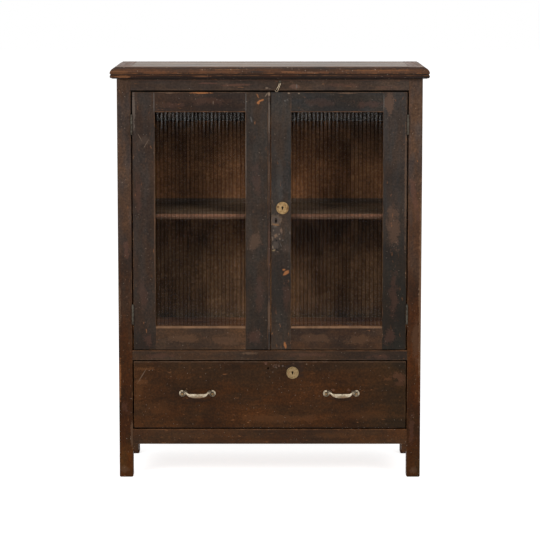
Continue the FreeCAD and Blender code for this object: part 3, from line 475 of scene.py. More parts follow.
def eased_copy(node, arris=0.0012, every=False, steps=2):
    """A copy of a CAD piece as one closed mesh, its long outer arrises rounded by plane and hand."""
    sides = list(zip(*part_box(node)))
    piece = bpy.data.objects.new(node + "_wood", cad[node].data.copy())
    bpy.context.collection.objects.link(piece)
    piece.data.materials.clear()
    pick(piece)
    open_mesh()
    bpy.ops.mesh.remove_doubles(threshold=SAME_POINT)
    bpy.ops.mesh.dissolve_limited(angle_limit=FLAT)

    def is_arris(edge):
        shared = sum(all(abs(vert.co[axis] - side) < ON_THE_BOX for vert in edge.verts)
                     for axis in range(3) for side in sides[axis])
        sharp = edge.is_manifold and edge.is_convex and edge.calc_face_angle() > SHARP
        return edge.calc_length() > SHORTEST_ARRIS and (sharp if every else shared >= 2)

    select_edges(piece, is_arris)
    if arris:
        bpy.ops.mesh.bevel(offset=arris, segments=steps, affect="EDGES", clamp_overlap=False)
        bpy.ops.mesh.select_all(action="SELECT")
        bpy.ops.mesh.remove_doubles(threshold=SAME_POINT)
    close_mesh(40)
    even = piece.modifiers.new("even_normals", "WEIGHTED_NORMAL")
    even.keep_sharp = True
    bpy.ops.object.modifier_apply(modifier=even.name)
    return piece


def finish_wood(node, body, material, slot="stained_wood", **cut):
    """An eased copy of a CAD piece in its finish, riding on its body and standing for its node."""
    dress(eased_copy(node, **cut), material, body, slot, node)


POST_COOL, POST_WARM = (0.046, 0.034, 0.029), (0.062, 0.034, 0.0205)
LEFT_POST_MARKS = (
    (-452, 520, 5, 90, RUBBED, 0.6, 0.5), (-452, 300, 4, 60, ORANGE, 0.5, 0.6),
    (-434, 212, 10, 22, REDDISH, 0.3, 0.9, 20), (-430, 690, 8, 30, REDDISH, 0.4, 0.8),
    (-417, 130, 4, 40, RUBBED, 0.5, 0.5), (-440, 25, 14, 10, RUBBED, 0.3, 0.8))
RIGHT_POST_MARKS = (
    (453, 560, 6, 330, (0.15, 0.082, 0.045), 0.75, 0.5), (432, 850, 10, 60, REDDISH, 0.5, 0.5, 10),
    (440, 420, 12, 70, (0.08, 0.038, 0.02), 0.6, 0.5), (428, 150, 8, 40, REDDISH, 0.3, 0.9),
    (436, 20, 14, 9, RUBBED, 0.3, 0.8))
# Each post's first Z fade makes it browner and darker lower down and leaves it greyer higher up: partly
# dust, partly painted sheen of the light from above.
BACK_POST = ((1.2, 1.2, 1.2), ("Z", 0.3, 0.95, (0.9, 0.6, 0.38)), ())
for seed, (post, (foot_tint, browning, patches)) in enumerate((
        ("post_front_left",
         ((2.2, 2.08, 1.56), ("Z", 0.3, 0.95, (0.56, 0.31, 0.1)), LEFT_POST_MARKS)),
        ("post_front_right",
         ((1.1, 1.24, 1.18), ("Z", 0.34, 1.05, (0.74, 0.39, 0.12)), RIGHT_POST_MARKS)),
        ("post_back_left", BACK_POST), ("post_back_right", BACK_POST))):
    finish_wood(post, "carcass",
                stained(post, "z", 1.3 + seed, POST_COOL, POST_WARM, warmth=0.1, marks=1.3, wear=0.6,
                        shine=0.08, fades=(browning, ("Z", 0.06, 0.13, foot_tint)), patches=patches),
                arris=0.0015)


# --- Front rails and foot brackets ----------------------------------------------------------------
# Three rails tenoned into the front posts, above and below the doors and under the drawer, and the
# two small curved brackets that fill the corners under the bottom rail.
RAIL_COOL, RAIL_WARM = (0.042, 0.0285, 0.0215), (0.054, 0.0315, 0.0195)
BROWN_COOL, BROWN_WARM = (0.037, 0.016, 0.0054), (0.051, 0.0184, 0.0046)
WORN_EDGE = (0.15, 0.066, 0.03)
for seed, (rail, cool, warm, marks) in enumerate((
        ("rail_front_top", RAIL_COOL, RAIL_WARM, dict(
            fades=(("X", -0.42, 0.0, (0.76, 0.75, 0.76)),),
            bands=((1199.5, 1202.0, 0.8, REDDISH, 0.45, 0.3), (1171, 1172.5, 0.5, RUBBED, 0.6, 0.8)),
            patches=(
                (74, 1181, 15, 8, (0.11, 0.058, 0.04), 0.7, 0.35),
                (72, 1175, 1.5, 9, NEARLY_BLACK, 0.5, 0.2), (80, 1183, 2, 7, GREY_DUST, 0.6, 0.2),
                (-100, 1187, 44, 4, (0.09, 0.042, 0.026), 0.65, 0.5, 2),
                (-9, 1178, 5, 3, PALE, 0.5, 0.4), (-178, 1192, 30, 3, REDDISH, 0.5, 0.5),
                (230, 1186, 50, 5, REDDISH, 0.26, 0.9), (350, 1180, 30, 5, REDDISH, 0.26, 0.9)))),
        ("rail_front_middle", (0.027, 0.0162, 0.01), (0.037, 0.018, 0.0086), dict(
            bands=((386.5, 389.0, 0.7, WORN_EDGE, 0.8, 0.7), (359.0, 361.0, 0.6, RUBBED, 0.6, 0.8)),
            patches=(
                (-330, 372, 40, 7, REDDISH, 0.29, 0.9), (120, 375, 60, 6, REDDISH, 0.29, 0.9),
                (330, 370, 30, 8, REDDISH, 0.29, 0.9), (-60, 380, 24, 4, RUBBED, 0.6, 0.5)))),
        ("rail_front_bottom", BROWN_COOL, BROWN_WARM, dict(
            bands=((145.0, 147.6, 0.7, WORN_EDGE, 0.7, 0.7), (102.0, 104.0, 0.6, RUBBED, 0.6, 0.8)),
            patches=(
                (-250, 125, 70, 9, (0.082, 0.034, 0.012), 0.3, 0.9),
                (190, 128, 90, 8, (0.082, 0.034, 0.012), 0.3, 0.9)))),
        ("foot_brackets", BROWN_COOL, BROWN_WARM, {}))):
    finish_wood(rail, "carcass", stained(rail, "x", 6.1 + seed, cool, warm, **marks))


# --- Sides and back -------------------------------------------------------------------------------
# Each side is three rails and two thin panels held in their grooves. The back is five upright boards
# nailed into the back rails' rebates, left bare and gone brown with age.
# The sides are browner and darker lower down and greyer higher up: partly dust, partly painted sheen of
# the light from above.
SIDE_BROWNING = ("Z", 0.2, 1.0, (1.0, 0.72, 0.52))
PANEL_COOL, PANEL_WARM = (0.05, 0.034, 0.026), (0.066, 0.037, 0.021)
for seed, node in enumerate(("rails_side_left", "rails_side_right")):
    finish_wood(node, "carcass", stained(node, "y", 11.7 + seed, RAIL_COOL, RAIL_WARM, marks=0.6,
                                         fades=(SIDE_BROWNING,)), every=True)
for seed, node in enumerate(("side_panels_left", "side_panels_right")):
    finish_wood(node, "carcass", stained(node, "z", 14.2 + seed, PANEL_COOL, PANEL_WARM, wear=0.2,
                                         marks=0.5, streaks=0.55, fades=(SIDE_BROWNING,)), arris=0.0004)

AGED_DARK, AGED_LIGHT = (0.232, 0.104, 0.046), (0.348, 0.157, 0.068)


def aged(node, along, seed, dark=AGED_DARK, light=AGED_LIGHT, **more):
    """Bare softwood gone brown with age, for what the doors and the back cover."""
    return stained(node, along, seed, dark, light, kind="aged_", wear=0.2, shine=0.1, rough=0.7,
                   marks=0.3, **more)


def plain_board(name, low, high, arris=0.0008):
    """One planed board between two corners, its arrises just eased."""
    board = new_form(name, bpy.ops.mesh.primitive_cube_add, size=1,
                     location=[(a + b) / 2 for a, b in zip(low, high)],
                     scale=[b - a for a, b in zip(low, high)])
    open_mesh()
    bpy.ops.mesh.bevel(offset=arris, segments=2, affect="EDGES")
    close_mesh(40)
    return board


def row_of_boards(node, axis, count, body, material, slot, arris=0.0008):
    """A node that is several equal boards side by side, made again board by board and joined."""
    low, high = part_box(node)
    wide = (high[axis] - low[axis]) / count
    boards = []
    for number in range(count):
        start, end = list(low), list(high)
        start[axis] = low[axis] + number * wide
        end[axis] = low[axis] + (number + 1) * wide
        boards.append(plain_board(node + "_wood", start, end, arris))
    for board in boards:
        board.select_set(True)
    bpy.context.view_layer.objects.active = boards[0]
    bpy.ops.object.join()
    dress(boards[0], material, body, slot, node)


finish_wood("rails_back", "carcass", aged("rails_back", "x", 17.3), slot="plain_wood", every=True)
BACK_BOARDS = 5
back_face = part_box("back_boards")[1].y
# The boards carry painted shade and light: darkest under the top and just under the shelf, with a dark
# line in the corner above the shelf and darker at their foot, palest just above the shelf, and painted
# lighter low in the lower cupboard, where light falls.
row_of_boards("back_boards", 0, BACK_BOARDS, "carcass",
              aged("back_boards", "z", 18.3, streaks=0.15, boards=("X", BACK_BOARDS), one_sided=True,
                   fades=(("Z", 1.08, 1.0, (0.7, 0.78, 0.88)), ("Z", 0.985, 0.86, (0.93, 0.97, 1.02)),
                          ("Z", 0.5, 0.6, (1.14, 1.16, 1.16)), ("Z", 0.79, 0.8, (0.82, 0.97, 1.08)),
                          ("Z", 0.7, 0.605, (0.64, 0.59, 0.56)), ("Z", 0.806, 0.796, (1.56, 1.69, 1.79)),
                          ("Z", 0.425, 0.47, (0.72, 0.86, 0.95)),
                          ("Y", back_face - BACK_CLEAR, back_face - MARKS_FULL, (0.62, 0.78, 0.95))),
                   bands=((797, 811, 0.8, (0.085, 0.062, 0.044), 0.85, 0.0),)), "plain_wood")


# --- Inside of the cupboards ----------------------------------------------------------------------
# The cupboard floor and the shelf lie on battens nailed to the sides, and a board behind the top rail
# stops the doors. All of it is thin softwood, bare but for the stop board, whose dark stain and darker
# lower edge are painted shade behind the top rail. Painted shade also darkens the shelf's underside
# and the lower half of its front edge.
for seed, (node, along) in enumerate((("cabinet_floor", "x"), ("floor_battens", "y"),
                                      ("shelf_battens", "y"), ("drawer_runner_left", "y"),
                                      ("drawer_runner_right", "y"), ("drawer_stops", "x"))):
    cad[node].data.materials[0] = aged(node, along, 21.9 + seed)
# The shelf's level band is painted shade on its underside and the lower half of its edge.
finish_wood("shelf", "carcass",
            aged("shelf", "x", 28.7, (0.12, 0.076, 0.046), (0.175, 0.11, 0.066),
                 fades=(("Y", -0.1287, -0.127, (1.16, 0.9, 0.88)),),
                 bands=((778, 788.5, 1.2, (0.06, 0.034, 0.022), 0.75, 0.1),)),
            slot="plain_wood", every=True)
# The stop board's dark stain and its darker lower edge are painted shade behind the top rail.
finish_wood("door_stop_board", "carcass",
            stained("door_stop_board", "x", 29.4, (0.03, 0.024, 0.02), (0.04, 0.026, 0.018), wear=0.0,
                    marks=0.1, relief=0.1, streaks=0.05,
                    fades=(("Z", 1.081, 1.104, (0.55, 0.55, 0.58)),)), every=True)


# --- The moulded top ------------------------------------------------------------------------------
# Three mitred lengths of moulding in a frame, with three boards let into it flush and a batten under
# their back edge. The moulding is rubbed through to red-brown wood along its round.
MOULDING_COOL, MOULDING_WARM = (0.036, 0.0175, 0.0092), (0.078, 0.03, 0.0115)
# The dark bands under the top arris, in the groove, over the ovolo's lower half and under the roll are
# painted shade, and the paler band over the ovolo's upper half is a painted highlight; the orange bands
# are rubbed wood.
MOULDING_BANDS = (
    (1236.0, 1239.0, 0.5, (0.012, 0.008, 0.006), 0.75, 0.25),
    (1216.6, 1220.2, 0.5, NEARLY_BLACK, 0.75, 0.2), (1206.0, 1210.0, 1.2, NEARLY_BLACK, 0.65, 0.1),
    (1239.2, 1240.5, 0.4, (0.26, 0.12, 0.055), 0.8, 0.75),
    (1226.0, 1234.5, 1.5, (0.07, 0.038, 0.024), 0.55, 0.4),
    (1218.5, 1225.0, 0.8, (0.018, 0.011, 0.008), 0.6, 0.5),
    (1221.6, 1223.6, 0.6, (0.24, 0.092, 0.032), 0.65, 1.0),
    (1214.4, 1216.2, 0.5, (0.16, 0.072, 0.03), 0.6, 0.9))
MOULDING_MARKS = (
    (-455, 1225, 40, 5, (0.15, 0.06, 0.022), 0.7, 0.6),
    (-330, 1224, 46, 4, (0.14, 0.052, 0.02), 0.7, 0.7),
    (-150, 1226, 60, 4, (0.12, 0.048, 0.02), 0.6, 0.7),
    (120, 1225, 70, 4, (0.13, 0.05, 0.02), 0.6, 0.7),
    (320, 1227, 60, 4, (0.12, 0.048, 0.02), 0.6, 0.7),
    (-440, 1212, 34, 3, (0.2, 0.08, 0.03), 0.8, 0.7),
    (-200, 1213, 20, 2, (0.17, 0.07, 0.03), 0.7, 0.7),
    (-35, 1227, 26, 3.4, (0.016, 0.012, 0.011), 0.7, 0.6),
    (56, 1226.5, 20, 1.5, (0.24, 0.1, 0.042), 0.75, 0.6), (116, 1226, 30, 1.2, PALE, 0.45, 0.9),
    (330, 1231, 90, 1.8, (0.2, 0.082, 0.032), 0.6, 0.8),
    (-120, 1233, 60, 1.4, (0.21, 0.09, 0.036), 0.6, 0.8))
for seed, (node, along) in enumerate((("moulding_front", "x"), ("moulding_left", "y"),
                                      ("moulding_right", "y"))):
    finish_wood(node, "carcass",
                stained(node, along, 31.1 + seed, MOULDING_COOL, MOULDING_WARM, wear=0.3, shine=0.14,
                        rough=0.45, marks=1.8, streaks=0.5, bands=MOULDING_BANDS,
                        # This fade darkens the roll as painted shade.
                        fades=(("Z", 1.214, 1.2175, (0.24, 0.16, 0.11)),),
                        patches=MOULDING_MARKS if node == "moulding_front" else ()),
                slot="moulding_wood", arris=0)
TOP_BOARDS = 3
row_of_boards("top_boards", 1, TOP_BOARDS, "carcass",
              stained("top_boards", "x", 35.7, (0.16, 0.1, 0.054), (0.195, 0.112, 0.054), shine=0.42,
                      rough=0.4, relief=0.2, marks=0.5, boards=("Y", TOP_BOARDS)),
              "top_wood", arris=0.0006)
finish_wood("top_back_batten", "carcass", aged("top_back_batten", "x", 37.3), slot="plain_wood",
            every=True)


# --- The doors' frames ----------------------------------------------------------------------------
# Each door is two stiles and two rails, mortised and tenoned, rebated for the pane. The left door's
# free edge carries a thin bead that meets the right door.
# The first ledge band lightens the top of each bottom rail: partly rubbed wood, partly a painted
# highlight where light from above catches the ledge. The second band is wear on the lower arris.
LEDGE_BANDS = ((456.2, 462.6, 0.8, (0.235, 0.127, 0.067), 0.85, 0.35),
               (391.5, 393.0, 0.5, RUBBED, 0.6, 0.7))
CHAMFER_BANDS = ((1105.8, 1108.6, 0.8, (0.17, 0.075, 0.032), 0.75, 0.6),
                 (1163.8, 1165.6, 0.6, RUBBED, 0.7, 0.75))
# The Z fades on the stiles make them darker and browner lower down and leave them greyer higher up:
# partly dust, partly painted sheen of the light from above.
DOOR_PARTS = {
    "left_door_hinge_stile": ("z", (0.027, 0.0197, 0.016), (0.0316, 0.0174, 0.0108), dict(
        fades=(("Z", 0.5, 1.05, (0.76, 0.73, 0.67)),),
        patches=(
            (-405, 1110, 5, 62, (0.105, 0.08, 0.064), 0.75, 0.5),
            (-344, 1135, 1.6, 34, GREY_DUST, 0.6, 0.4),
            (-344, 800, 2.0, 250, (0.09, 0.05, 0.028), 0.7, 0.5),
            (-386, 1030, 1.2, 14, PALE, 0.45, 0.3, 28), (-368, 1012, 1.2, 16, PALE, 0.45, 0.3, -30),
            (-375, 1020, 20, 14, (0.055, 0.036, 0.026), 0.5, 0.5),
            (-380, 560, 14, 40, REDDISH, 0.23, 0.9), (-392, 860, 10, 50, REDDISH, 0.23, 0.9),
            (-366, 425, 14, 18, REDDISH, 0.29, 0.9, 20)))),
    "left_door_meeting_stile": ("z", (0.0246, 0.0198, 0.0166), (0.029, 0.0175, 0.0112), dict(
        fades=(("Z", 0.5, 1.0, (0.78, 0.72, 0.64)),),
        patches=(
            (-33.8, 1134.6, 4.6, 5, ORANGE, 0.9, 0.4), (-29, 1140, 5, 3.2, ORANGE, 0.85, 0.45, 25),
            (-22.4, 1142.5, 6.5, 2.8, ORANGE, 0.85, 0.5, 20),
            (-36.5, 1156, 1.9, 8.5, ORANGE, 0.6, 0.5, 26),
            (-46, 716, 20, 26, (0.08, 0.046, 0.029), 0.7, 0.6),
            (-71, 967, 1.6, 130, (0.12, 0.092, 0.072), 0.65, 0.45),
            (-71, 1135, 1.5, 32, GREY_DUST, 0.5, 0.4), (-10, 1158, 1.6, 9, PALE, 0.6, 0.3, -35),
            (-40, 900, 14, 40, REDDISH, 0.2, 0.9), (-30, 560, 12, 50, REDDISH, 0.2, 0.9),
            (-55, 1085, 2, 10, GREY_DUST, 0.5, 0.4, 15), (-44, 430, 16, 20, REDDISH, 0.29, 0.9)))),
    "left_door_top_rail": ("x", (0.0232, 0.0145, 0.0107), (0.0278, 0.014, 0.008), dict(
        bands=CHAMFER_BANDS,
        patches=(
            (-200, 1163.5, 34, 2.6, ORANGE, 0.85, 0.5), (-300, 1163, 14, 1.8, RUBBED, 0.7, 0.5),
            (-190, 1140, 60, 10, REDDISH, 0.18, 0.9), (-168, 1134, 1.2, 6, PALE, 0.5, 0.3),
            (-285, 1128, 30, 8, REDDISH, 0.2, 0.9)))),
    "left_door_bottom_rail": ("x", (0.0396, 0.0222, 0.0126), (0.053, 0.0254, 0.0112), dict(
        bands=LEDGE_BANDS,
        patches=(
            (-260, 425, 50, 12, (0.095, 0.048, 0.024), 0.5, 0.6),
            (-130, 420, 44, 14, (0.09, 0.044, 0.022), 0.5, 0.6)))),
    "right_door_hinge_stile": ("z", (0.0315, 0.0264, 0.0234), (0.0375, 0.0232, 0.0158), dict(
        fades=(("Z", 0.5, 1.0, (0.3, 0.29, 0.22)),),
        patches=(
            (354, 1130, 15, 34, (0.1, 0.056, 0.036), 0.65, 0.6),
            (369, 764, 18, 72, (0.088, 0.048, 0.03), 0.6, 0.65),
            (339, 1135, 1.5, 32, GREY_DUST, 0.5, 0.4), (405, 900, 3, 200, RUBBED, 0.5, 0.6),
            (372, 560, 12, 60, REDDISH, 0.23, 0.9), (360, 430, 18, 24, REDDISH, 0.29, 0.9)))),
    "right_door_meeting_stile": ("z", (0.0254, 0.0222, 0.02), (0.03, 0.0194, 0.0134), dict(
        fades=(("Z", 0.5, 1.0, (1.05, 0.92, 0.78)),),
        patches=(
            (20, 745, 15, 60, (0.062, 0.047, 0.038), 0.55, 0.5),
            (18, 784, 15, 17.5, (0.15, 0.098, 0.062), 0.8, 0.42),
            (18, 785, 12.0, 14.5, (0.068, 0.05, 0.041), 0.9, 0.42),
            (20, 769, 10, 3.4, (0.2, 0.105, 0.048), 0.8, 0.6, -10),
            (18.5, 782, 3.9, 7.8, NEARLY_BLACK, 1.0, 0.15),
            (21, 709, 15, 19, (0.02, 0.016, 0.013), 0.75, 0.55),
            (19, 708, 10.5, 14, (0.064, 0.048, 0.038), 0.8, 0.55),
            (19.7, 721.6, 2.4, 3.4, NEARLY_BLACK, 1.0, 0.1),
            (20.5, 695, 2.2, 2.8, NEARLY_BLACK, 1.0, 0.1),
            (12.5, 692.5, 5, 2.6, (0.21, 0.145, 0.075), 0.8, 0.5, 15),
            (18, 737, 6, 7, (0.17, 0.105, 0.066), 0.75, 0.8, 20),
            (34.5, 753, 3.4, 8, (0.16, 0.1, 0.068), 0.7, 0.8),
            (17, 764, 5.5, 3, (0.12, 0.098, 0.08), 0.6, 0.6),
            (8, 728, 3, 6, (0.15, 0.105, 0.075), 0.7, 0.7),
            (33, 709, 1.6, 9, (0.105, 0.088, 0.072), 0.7, 0.5, 25),
            (9, 702, 1.8, 4.5, PALE, 0.6, 0.5, 10), (28, 741, 2.2, 3, PALE, 0.5, 0.6),
            (30, 727, 1.4, 3.5, PALE, 0.6, 0.5), (24, 688, 3.5, 1.6, PALE, 0.55, 0.6),
            (11, 752, 1.4, 3, PALE, 0.5, 0.5), (39, 723, 2, 1.6, (0.15, 0.125, 0.105), 0.6, 0.3),
            (60, 745, 1.5, 3.4, (0.15, 0.125, 0.105), 0.6, 0.3),
            (48, 697, 14, 12, (0.07, 0.043, 0.031), 0.4, 0.8),
            (49, 624, 12, 5, ORANGE, 0.85, 0.5, 40), (42, 634, 5, 3, ORANGE, 0.8, 0.5),
            (46, 406, 4, 11, ORANGE, 0.8, 0.5, 12), (66, 1128, 1.5, 28, GREY_DUST, 0.5, 0.4),
            (56.4, 1162.6, 3.4, 2.0, PALE, 0.8, 0.3), (70, 1161, 8, 1.6, REDDISH, 0.8, 0.4),
            (45, 1140, 3, 2, GREY_DUST, 0.6, 0.3), (52, 1143, 2, 1.5, GREY_DUST, 0.5, 0.3),
            (50, 560, 10, 40, REDDISH, 0.2, 0.9), (30, 900, 12, 60, GREY_DUST, 0.12, 0.6)))),
    "right_door_top_rail": ("x", (0.0209, 0.0192, 0.0182), (0.0253, 0.0188, 0.0139), dict(
        bands=CHAMFER_BANDS,
        patches=(
            (86.5, 1161.7, 2.6, 2.2, PALE, 0.8, 0.3), (230, 1162.5, 30, 2, RUBBED, 0.7, 0.6),
            (150, 1135, 50, 12, REDDISH, 0.16, 0.9), (290, 1130, 40, 10, REDDISH, 0.26, 0.9)))),
    "right_door_bottom_rail": ("x", (0.033, 0.0176, 0.0099), (0.044, 0.02, 0.0088), dict(
        bands=LEDGE_BANDS,
        patches=(
            (140, 425, 50, 12, (0.085, 0.042, 0.021), 0.5, 0.6),
            (270, 420, 44, 14, (0.095, 0.046, 0.022), 0.5, 0.6))))}
for seed, (node, (along, cool, warm, marks)) in enumerate(DOOR_PARTS.items()):
    finish_wood(node, node[:node.index("_door")] + "_door",
                stained(node, along, 41.3 + seed, cool, warm, **marks))
# The bead's X fade darkens its right part, by the gap, as painted shade.
finish_wood("left_door_meeting_bead", "left_door",
            stained("left_door_meeting_bead", "z", 53.3, (0.038, 0.028, 0.023), (0.05, 0.028, 0.018),
                    wear=0.4, reach=0.003, marks=1.5, fades=(("X", 0.002, -0.0015, (0.25, 0.2, 0.18)),),
                    patches=(
                        (-2, 1160, 4, 6, PALE, 0.75, 0.3),
                        (-2, 1090, 3, 60, (0.105, 0.08, 0.062), 0.8, 0.5),
                        (-2, 930, 3, 50, RUBBED, 0.3, 0.7), (-2, 700, 3, 60, REDDISH, 0.3, 0.7),
                        (-2, 500, 3, 50, RUBBED, 0.6, 0.5))), arris=0.0006)


# --- Panes and glazing beads ----------------------------------------------------------------------
# Each door holds one pane of pressed glass, ribbed on its front, bedded in the rebate behind four
# plain beads pinned to the frame.
RIBS = 25
STEPS_PER_RIB = 10
RIB_HEIGHT = 0.0013
RIB_FULLNESS = 1.25
SHEET_THICKNESS = 0.0001
# How far the two faces of the film of dust and painted highlights stand before the ribs.
DUST_FACES = (0.0003, 0.0001)
GLASS_IOR = 1.06
# The height at which the dust and painted highlights along the top of the pane begin.
TOP_DUST = 1.085


@shader_group
def rib_shade(place=(0, 0, 0), start=0.0, pitch=0.01):
    """Where a point lies on the ribs: in a valley, on a crest, and the rib's number."""
    ribs_on = divided(minus(split(place)[0], start), pitch)
    aside = maths("ABSOLUTE", minus(maths("FRACT", ribs_on), 0.5))
    return {"valley": rescale(aside, 0.3, 0.5), "crest": rescale(aside, 0.22, 0.03),
            "number": maths("FLOOR", ribs_on)}


def ribbed_glass(name, start, pitch):
    """Clear pressed glass, darkened in its valleys as painted shade for the dark lines that the ribs'
    refraction shows, more so near the top. Light falls through it into the cupboard behind.
    """
    material, spot = new_material(name)
    tree = material.node_tree
    haze = mottle(spot, 9.0, 4.0, 0.6)
    valley = use_group(rib_shade, place=spot, start=start, pitch=pitch)["valley"]
    tint = over((0.92, 0.94, 0.93), (0.84, 0.85, 0.83), rescale(haze, 0.3, 0.7))
    # Painted shade in the valleys, and more of it near the top.
    tint = over((0.3, 0.27, 0.24), tint, times(valley, 0.55))
    tint = over((0.3, 0.29, 0.28), tint, times(valley, rescale(split(spot)[2], 1.0, 1.09)))
    pane = add_node(tree, "BsdfPrincipled",
                    {"Base Color": tint, "Roughness": rescale(haze, 0.3, 0.7, 0.02, 0.06),
                     "IOR": GLASS_IOR, "Transmission Weight": 1.0})
    clear = add_node(tree, "BsdfTransparent", {"Color": (0.9, 0.9, 0.9, 1)})
    rays = add_node(tree, "LightPath").outputs
    soft_light = most(rays["Is Shadow Ray"], rays["Is Diffuse Ray"])
    return surface(material, "MixShader", {0: soft_light, 1: pane.outputs[0], 2: clear.outputs[0]})


def glass_dust(name, start, pitch, seed):
    """Old dust and wiped streaks on the ribs, thick at the top of the pane and thin towards its foot;
    the band along the top lies on the crests, and with faint lines on every crest it is a painted
    highlight for reflections on the ribs.
    """
    material, spot = new_material(name)
    rib = use_group(rib_shade, place=spot, start=start, pitch=pitch)
    height = split(spot)[2]
    own = lot(plus(rib["number"], seed))
    streaky = rescale(mottle(vectors("MULTIPLY", spot, (1.0, 1.0, 0.12)), 210.0, 4.0, 0.65), 0.36, 0.66)
    # The band along the top, laid on the crests, is partly dust and partly a painted highlight for
    # reflections on the ribs.
    top = rescale(minus(height, minus(TOP_DUST, times(own, 0.022))), -0.03, 0.022)
    top = times(top, spread(own, 0.5, 1.0))
    crest = times(rib["crest"], spread(streaky, 0.35, 1.0))
    foot = times(rescale(height, 0.56, 0.46), 0.035)
    body = times(rescale(height, 0.8, 0.5), 0.006)
    low_dust = times(plus(foot, body),
                     times(spread(rib["crest"], 0.45, 1.0), spread(streaky, 0.55, 1.0)))
    specks = scattered(vectors("MULTIPLY", spot, (110.0, 110.0, 110.0)), 0.13, 0.35)
    cover = plus(plus(times(times(top, crest), 0.3), low_dust), times(specks, 0.16))
    # Faint lines on every crest: painted highlights.
    cover = plus(cover, times(rib["crest"], 0.02), clamp=True)
    shade = over((0.14, 0.148, 0.15), (0.15, 0.17, 0.19), rescale(height, 0.6, 1.05))
    return surface(material, "BsdfPrincipled",
                   {"Base Color": shade, "Roughness": rescale(streaky, 0, 1, 0.75, 0.6), "Alpha": cover,
                    "Specular IOR Level": 0.2})


def ribbed_sheet(name, side, ahead, behind, material, node=None):
    """A strip with a row of round ribs, drawn up to the pane's height. ahead and behind are its two
    faces: how far each stands before the ribs, or None for the pane's flat back."""
    low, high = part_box(side + "_door_glass")
    pitch = (high.x - low.x) / RIBS
    sheet = new_form(name, bpy.ops.mesh.primitive_grid_add, x_subdivisions=RIBS * STEPS_PER_RIB,
                     y_subdivisions=1, size=1, location=((low.x + high.x) / 2, low.y, low.z),
                     stretch=(high.x - low.x, SHEET_THICKNESS, 1))
    for vert in sheet.data.vertices:
        turn = (vert.co.x - low.x) / pitch * math.pi
        rib = low.y + RIB_HEIGHT * (1 - abs(math.sin(turn)) ** RIB_FULLNESS)
        out = ahead if vert.co.y < low.y else behind
        vert.co.y = high.y if out is None else rib - out
    open_mesh()
    bpy.ops.mesh.extrude_region_move(TRANSFORM_OT_translate={"value": (0, 0, high.z - low.z)})
    bpy.ops.mesh.select_all(action="SELECT")
    bpy.ops.mesh.normals_make_consistent(inside=False)
    close_mesh(50)
    dress(sheet, material, side + "_door", "ribbed_glass", node)


for seed, side in enumerate(("left", "right")):
    low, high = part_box(side + "_door_glass")
    pitch = (high.x - low.x) / RIBS
    ribbed_sheet(side + "_pane", side, 0.0, None, ribbed_glass(side + "_ribbed_glass", low.x, pitch),
                 side + "_door_glass")
    ribbed_sheet(side + "_pane_dust", side, *DUST_FACES,
                 glass_dust(side + "_glass_dust", low.x, pitch, 7.0 * seed))
    beads = side + "_door_glazing_beads"
    cad[beads].data.materials[0] = aged(beads, "z", 57.1 + seed)


# --- Hinges ---------------------------------------------------------------------------------------
# Four iron butt hinges with three-part knuckles, let into the posts and the doors' outer stiles.
TARNISH_DEPTH = 0.5
METAL_RELIEF = 0.0002


def worn_metal(name, light, dark, rough, scale, patches=()):
    """Old metal: two tones in clouds, dull where it is dark, with fine pits and patches of tarnish, and
    on the pulls and the hook also patches of painted shade.
    """
    material, spot = new_material(name)
    cloud = rescale(mottle(spot, scale, 5.0, 0.65), 0.35, 0.65)
    tear = use_group(torn_rim, place=spot)["tear"]
    colour = with_patches(over(light, dark, cloud), spot, tear, patches, FRONT, TARNISH_DEPTH)
    bump = add_node(material.node_tree, "Bump", {"Strength": 0.2, "Distance": METAL_RELIEF,
                                                 "Height": mottle(spot, scale * 6, 4.0, 0.7)})
    return surface(material, "BsdfPrincipled",
                   {"Base Color": colour, "Metallic": 1.0, "Normal": bump.outputs[0],
                    "Roughness": rescale(cloud, 0, 1, rough + 0.15, rough), "Specular IOR Level": 0.5})


dull_iron = worn_metal("dull_iron", (0.075, 0.066, 0.052), (0.035, 0.027, 0.02), 0.48, 120.0)
for node in ("hinge_leaves_posts", "left_door_hinge_leaves", "right_door_hinge_leaves"):
    cad[node].data.materials[0] = dull_iron


# --- Locks ----------------------------------------------------------------------------------------
# A round brass plate on the right door and one on the drawer, each turned with a raised rim and nailed
# over an iron case with a bolt.
PLATE_RADIUS = 0.0185
PLATE_RIM = 0.0024
PLATE_DISH = 0.0011
PLATE_ROUND = 0.0006
KEYHOLE_HALF = 0.005
KEYHOLE_RADIUS = 0.0031
CUTTER_LENGTH = 0.02
FACING_FRONT = (math.pi / 2, 0, 0)
TARNISH = (0.105, 0.055, 0.026)


def cut_out(piece, cutter):
    """Takes the cutter's shape out of the piece."""
    pick(piece)
    hole = piece.modifiers.new("hole", "BOOLEAN")
    hole.operation = "DIFFERENCE"
    hole.object = cutter
    hole.solver = "EXACT"
    bpy.ops.object.modifier_apply(modifier=hole.name)
    bpy.data.objects.remove(cutter)


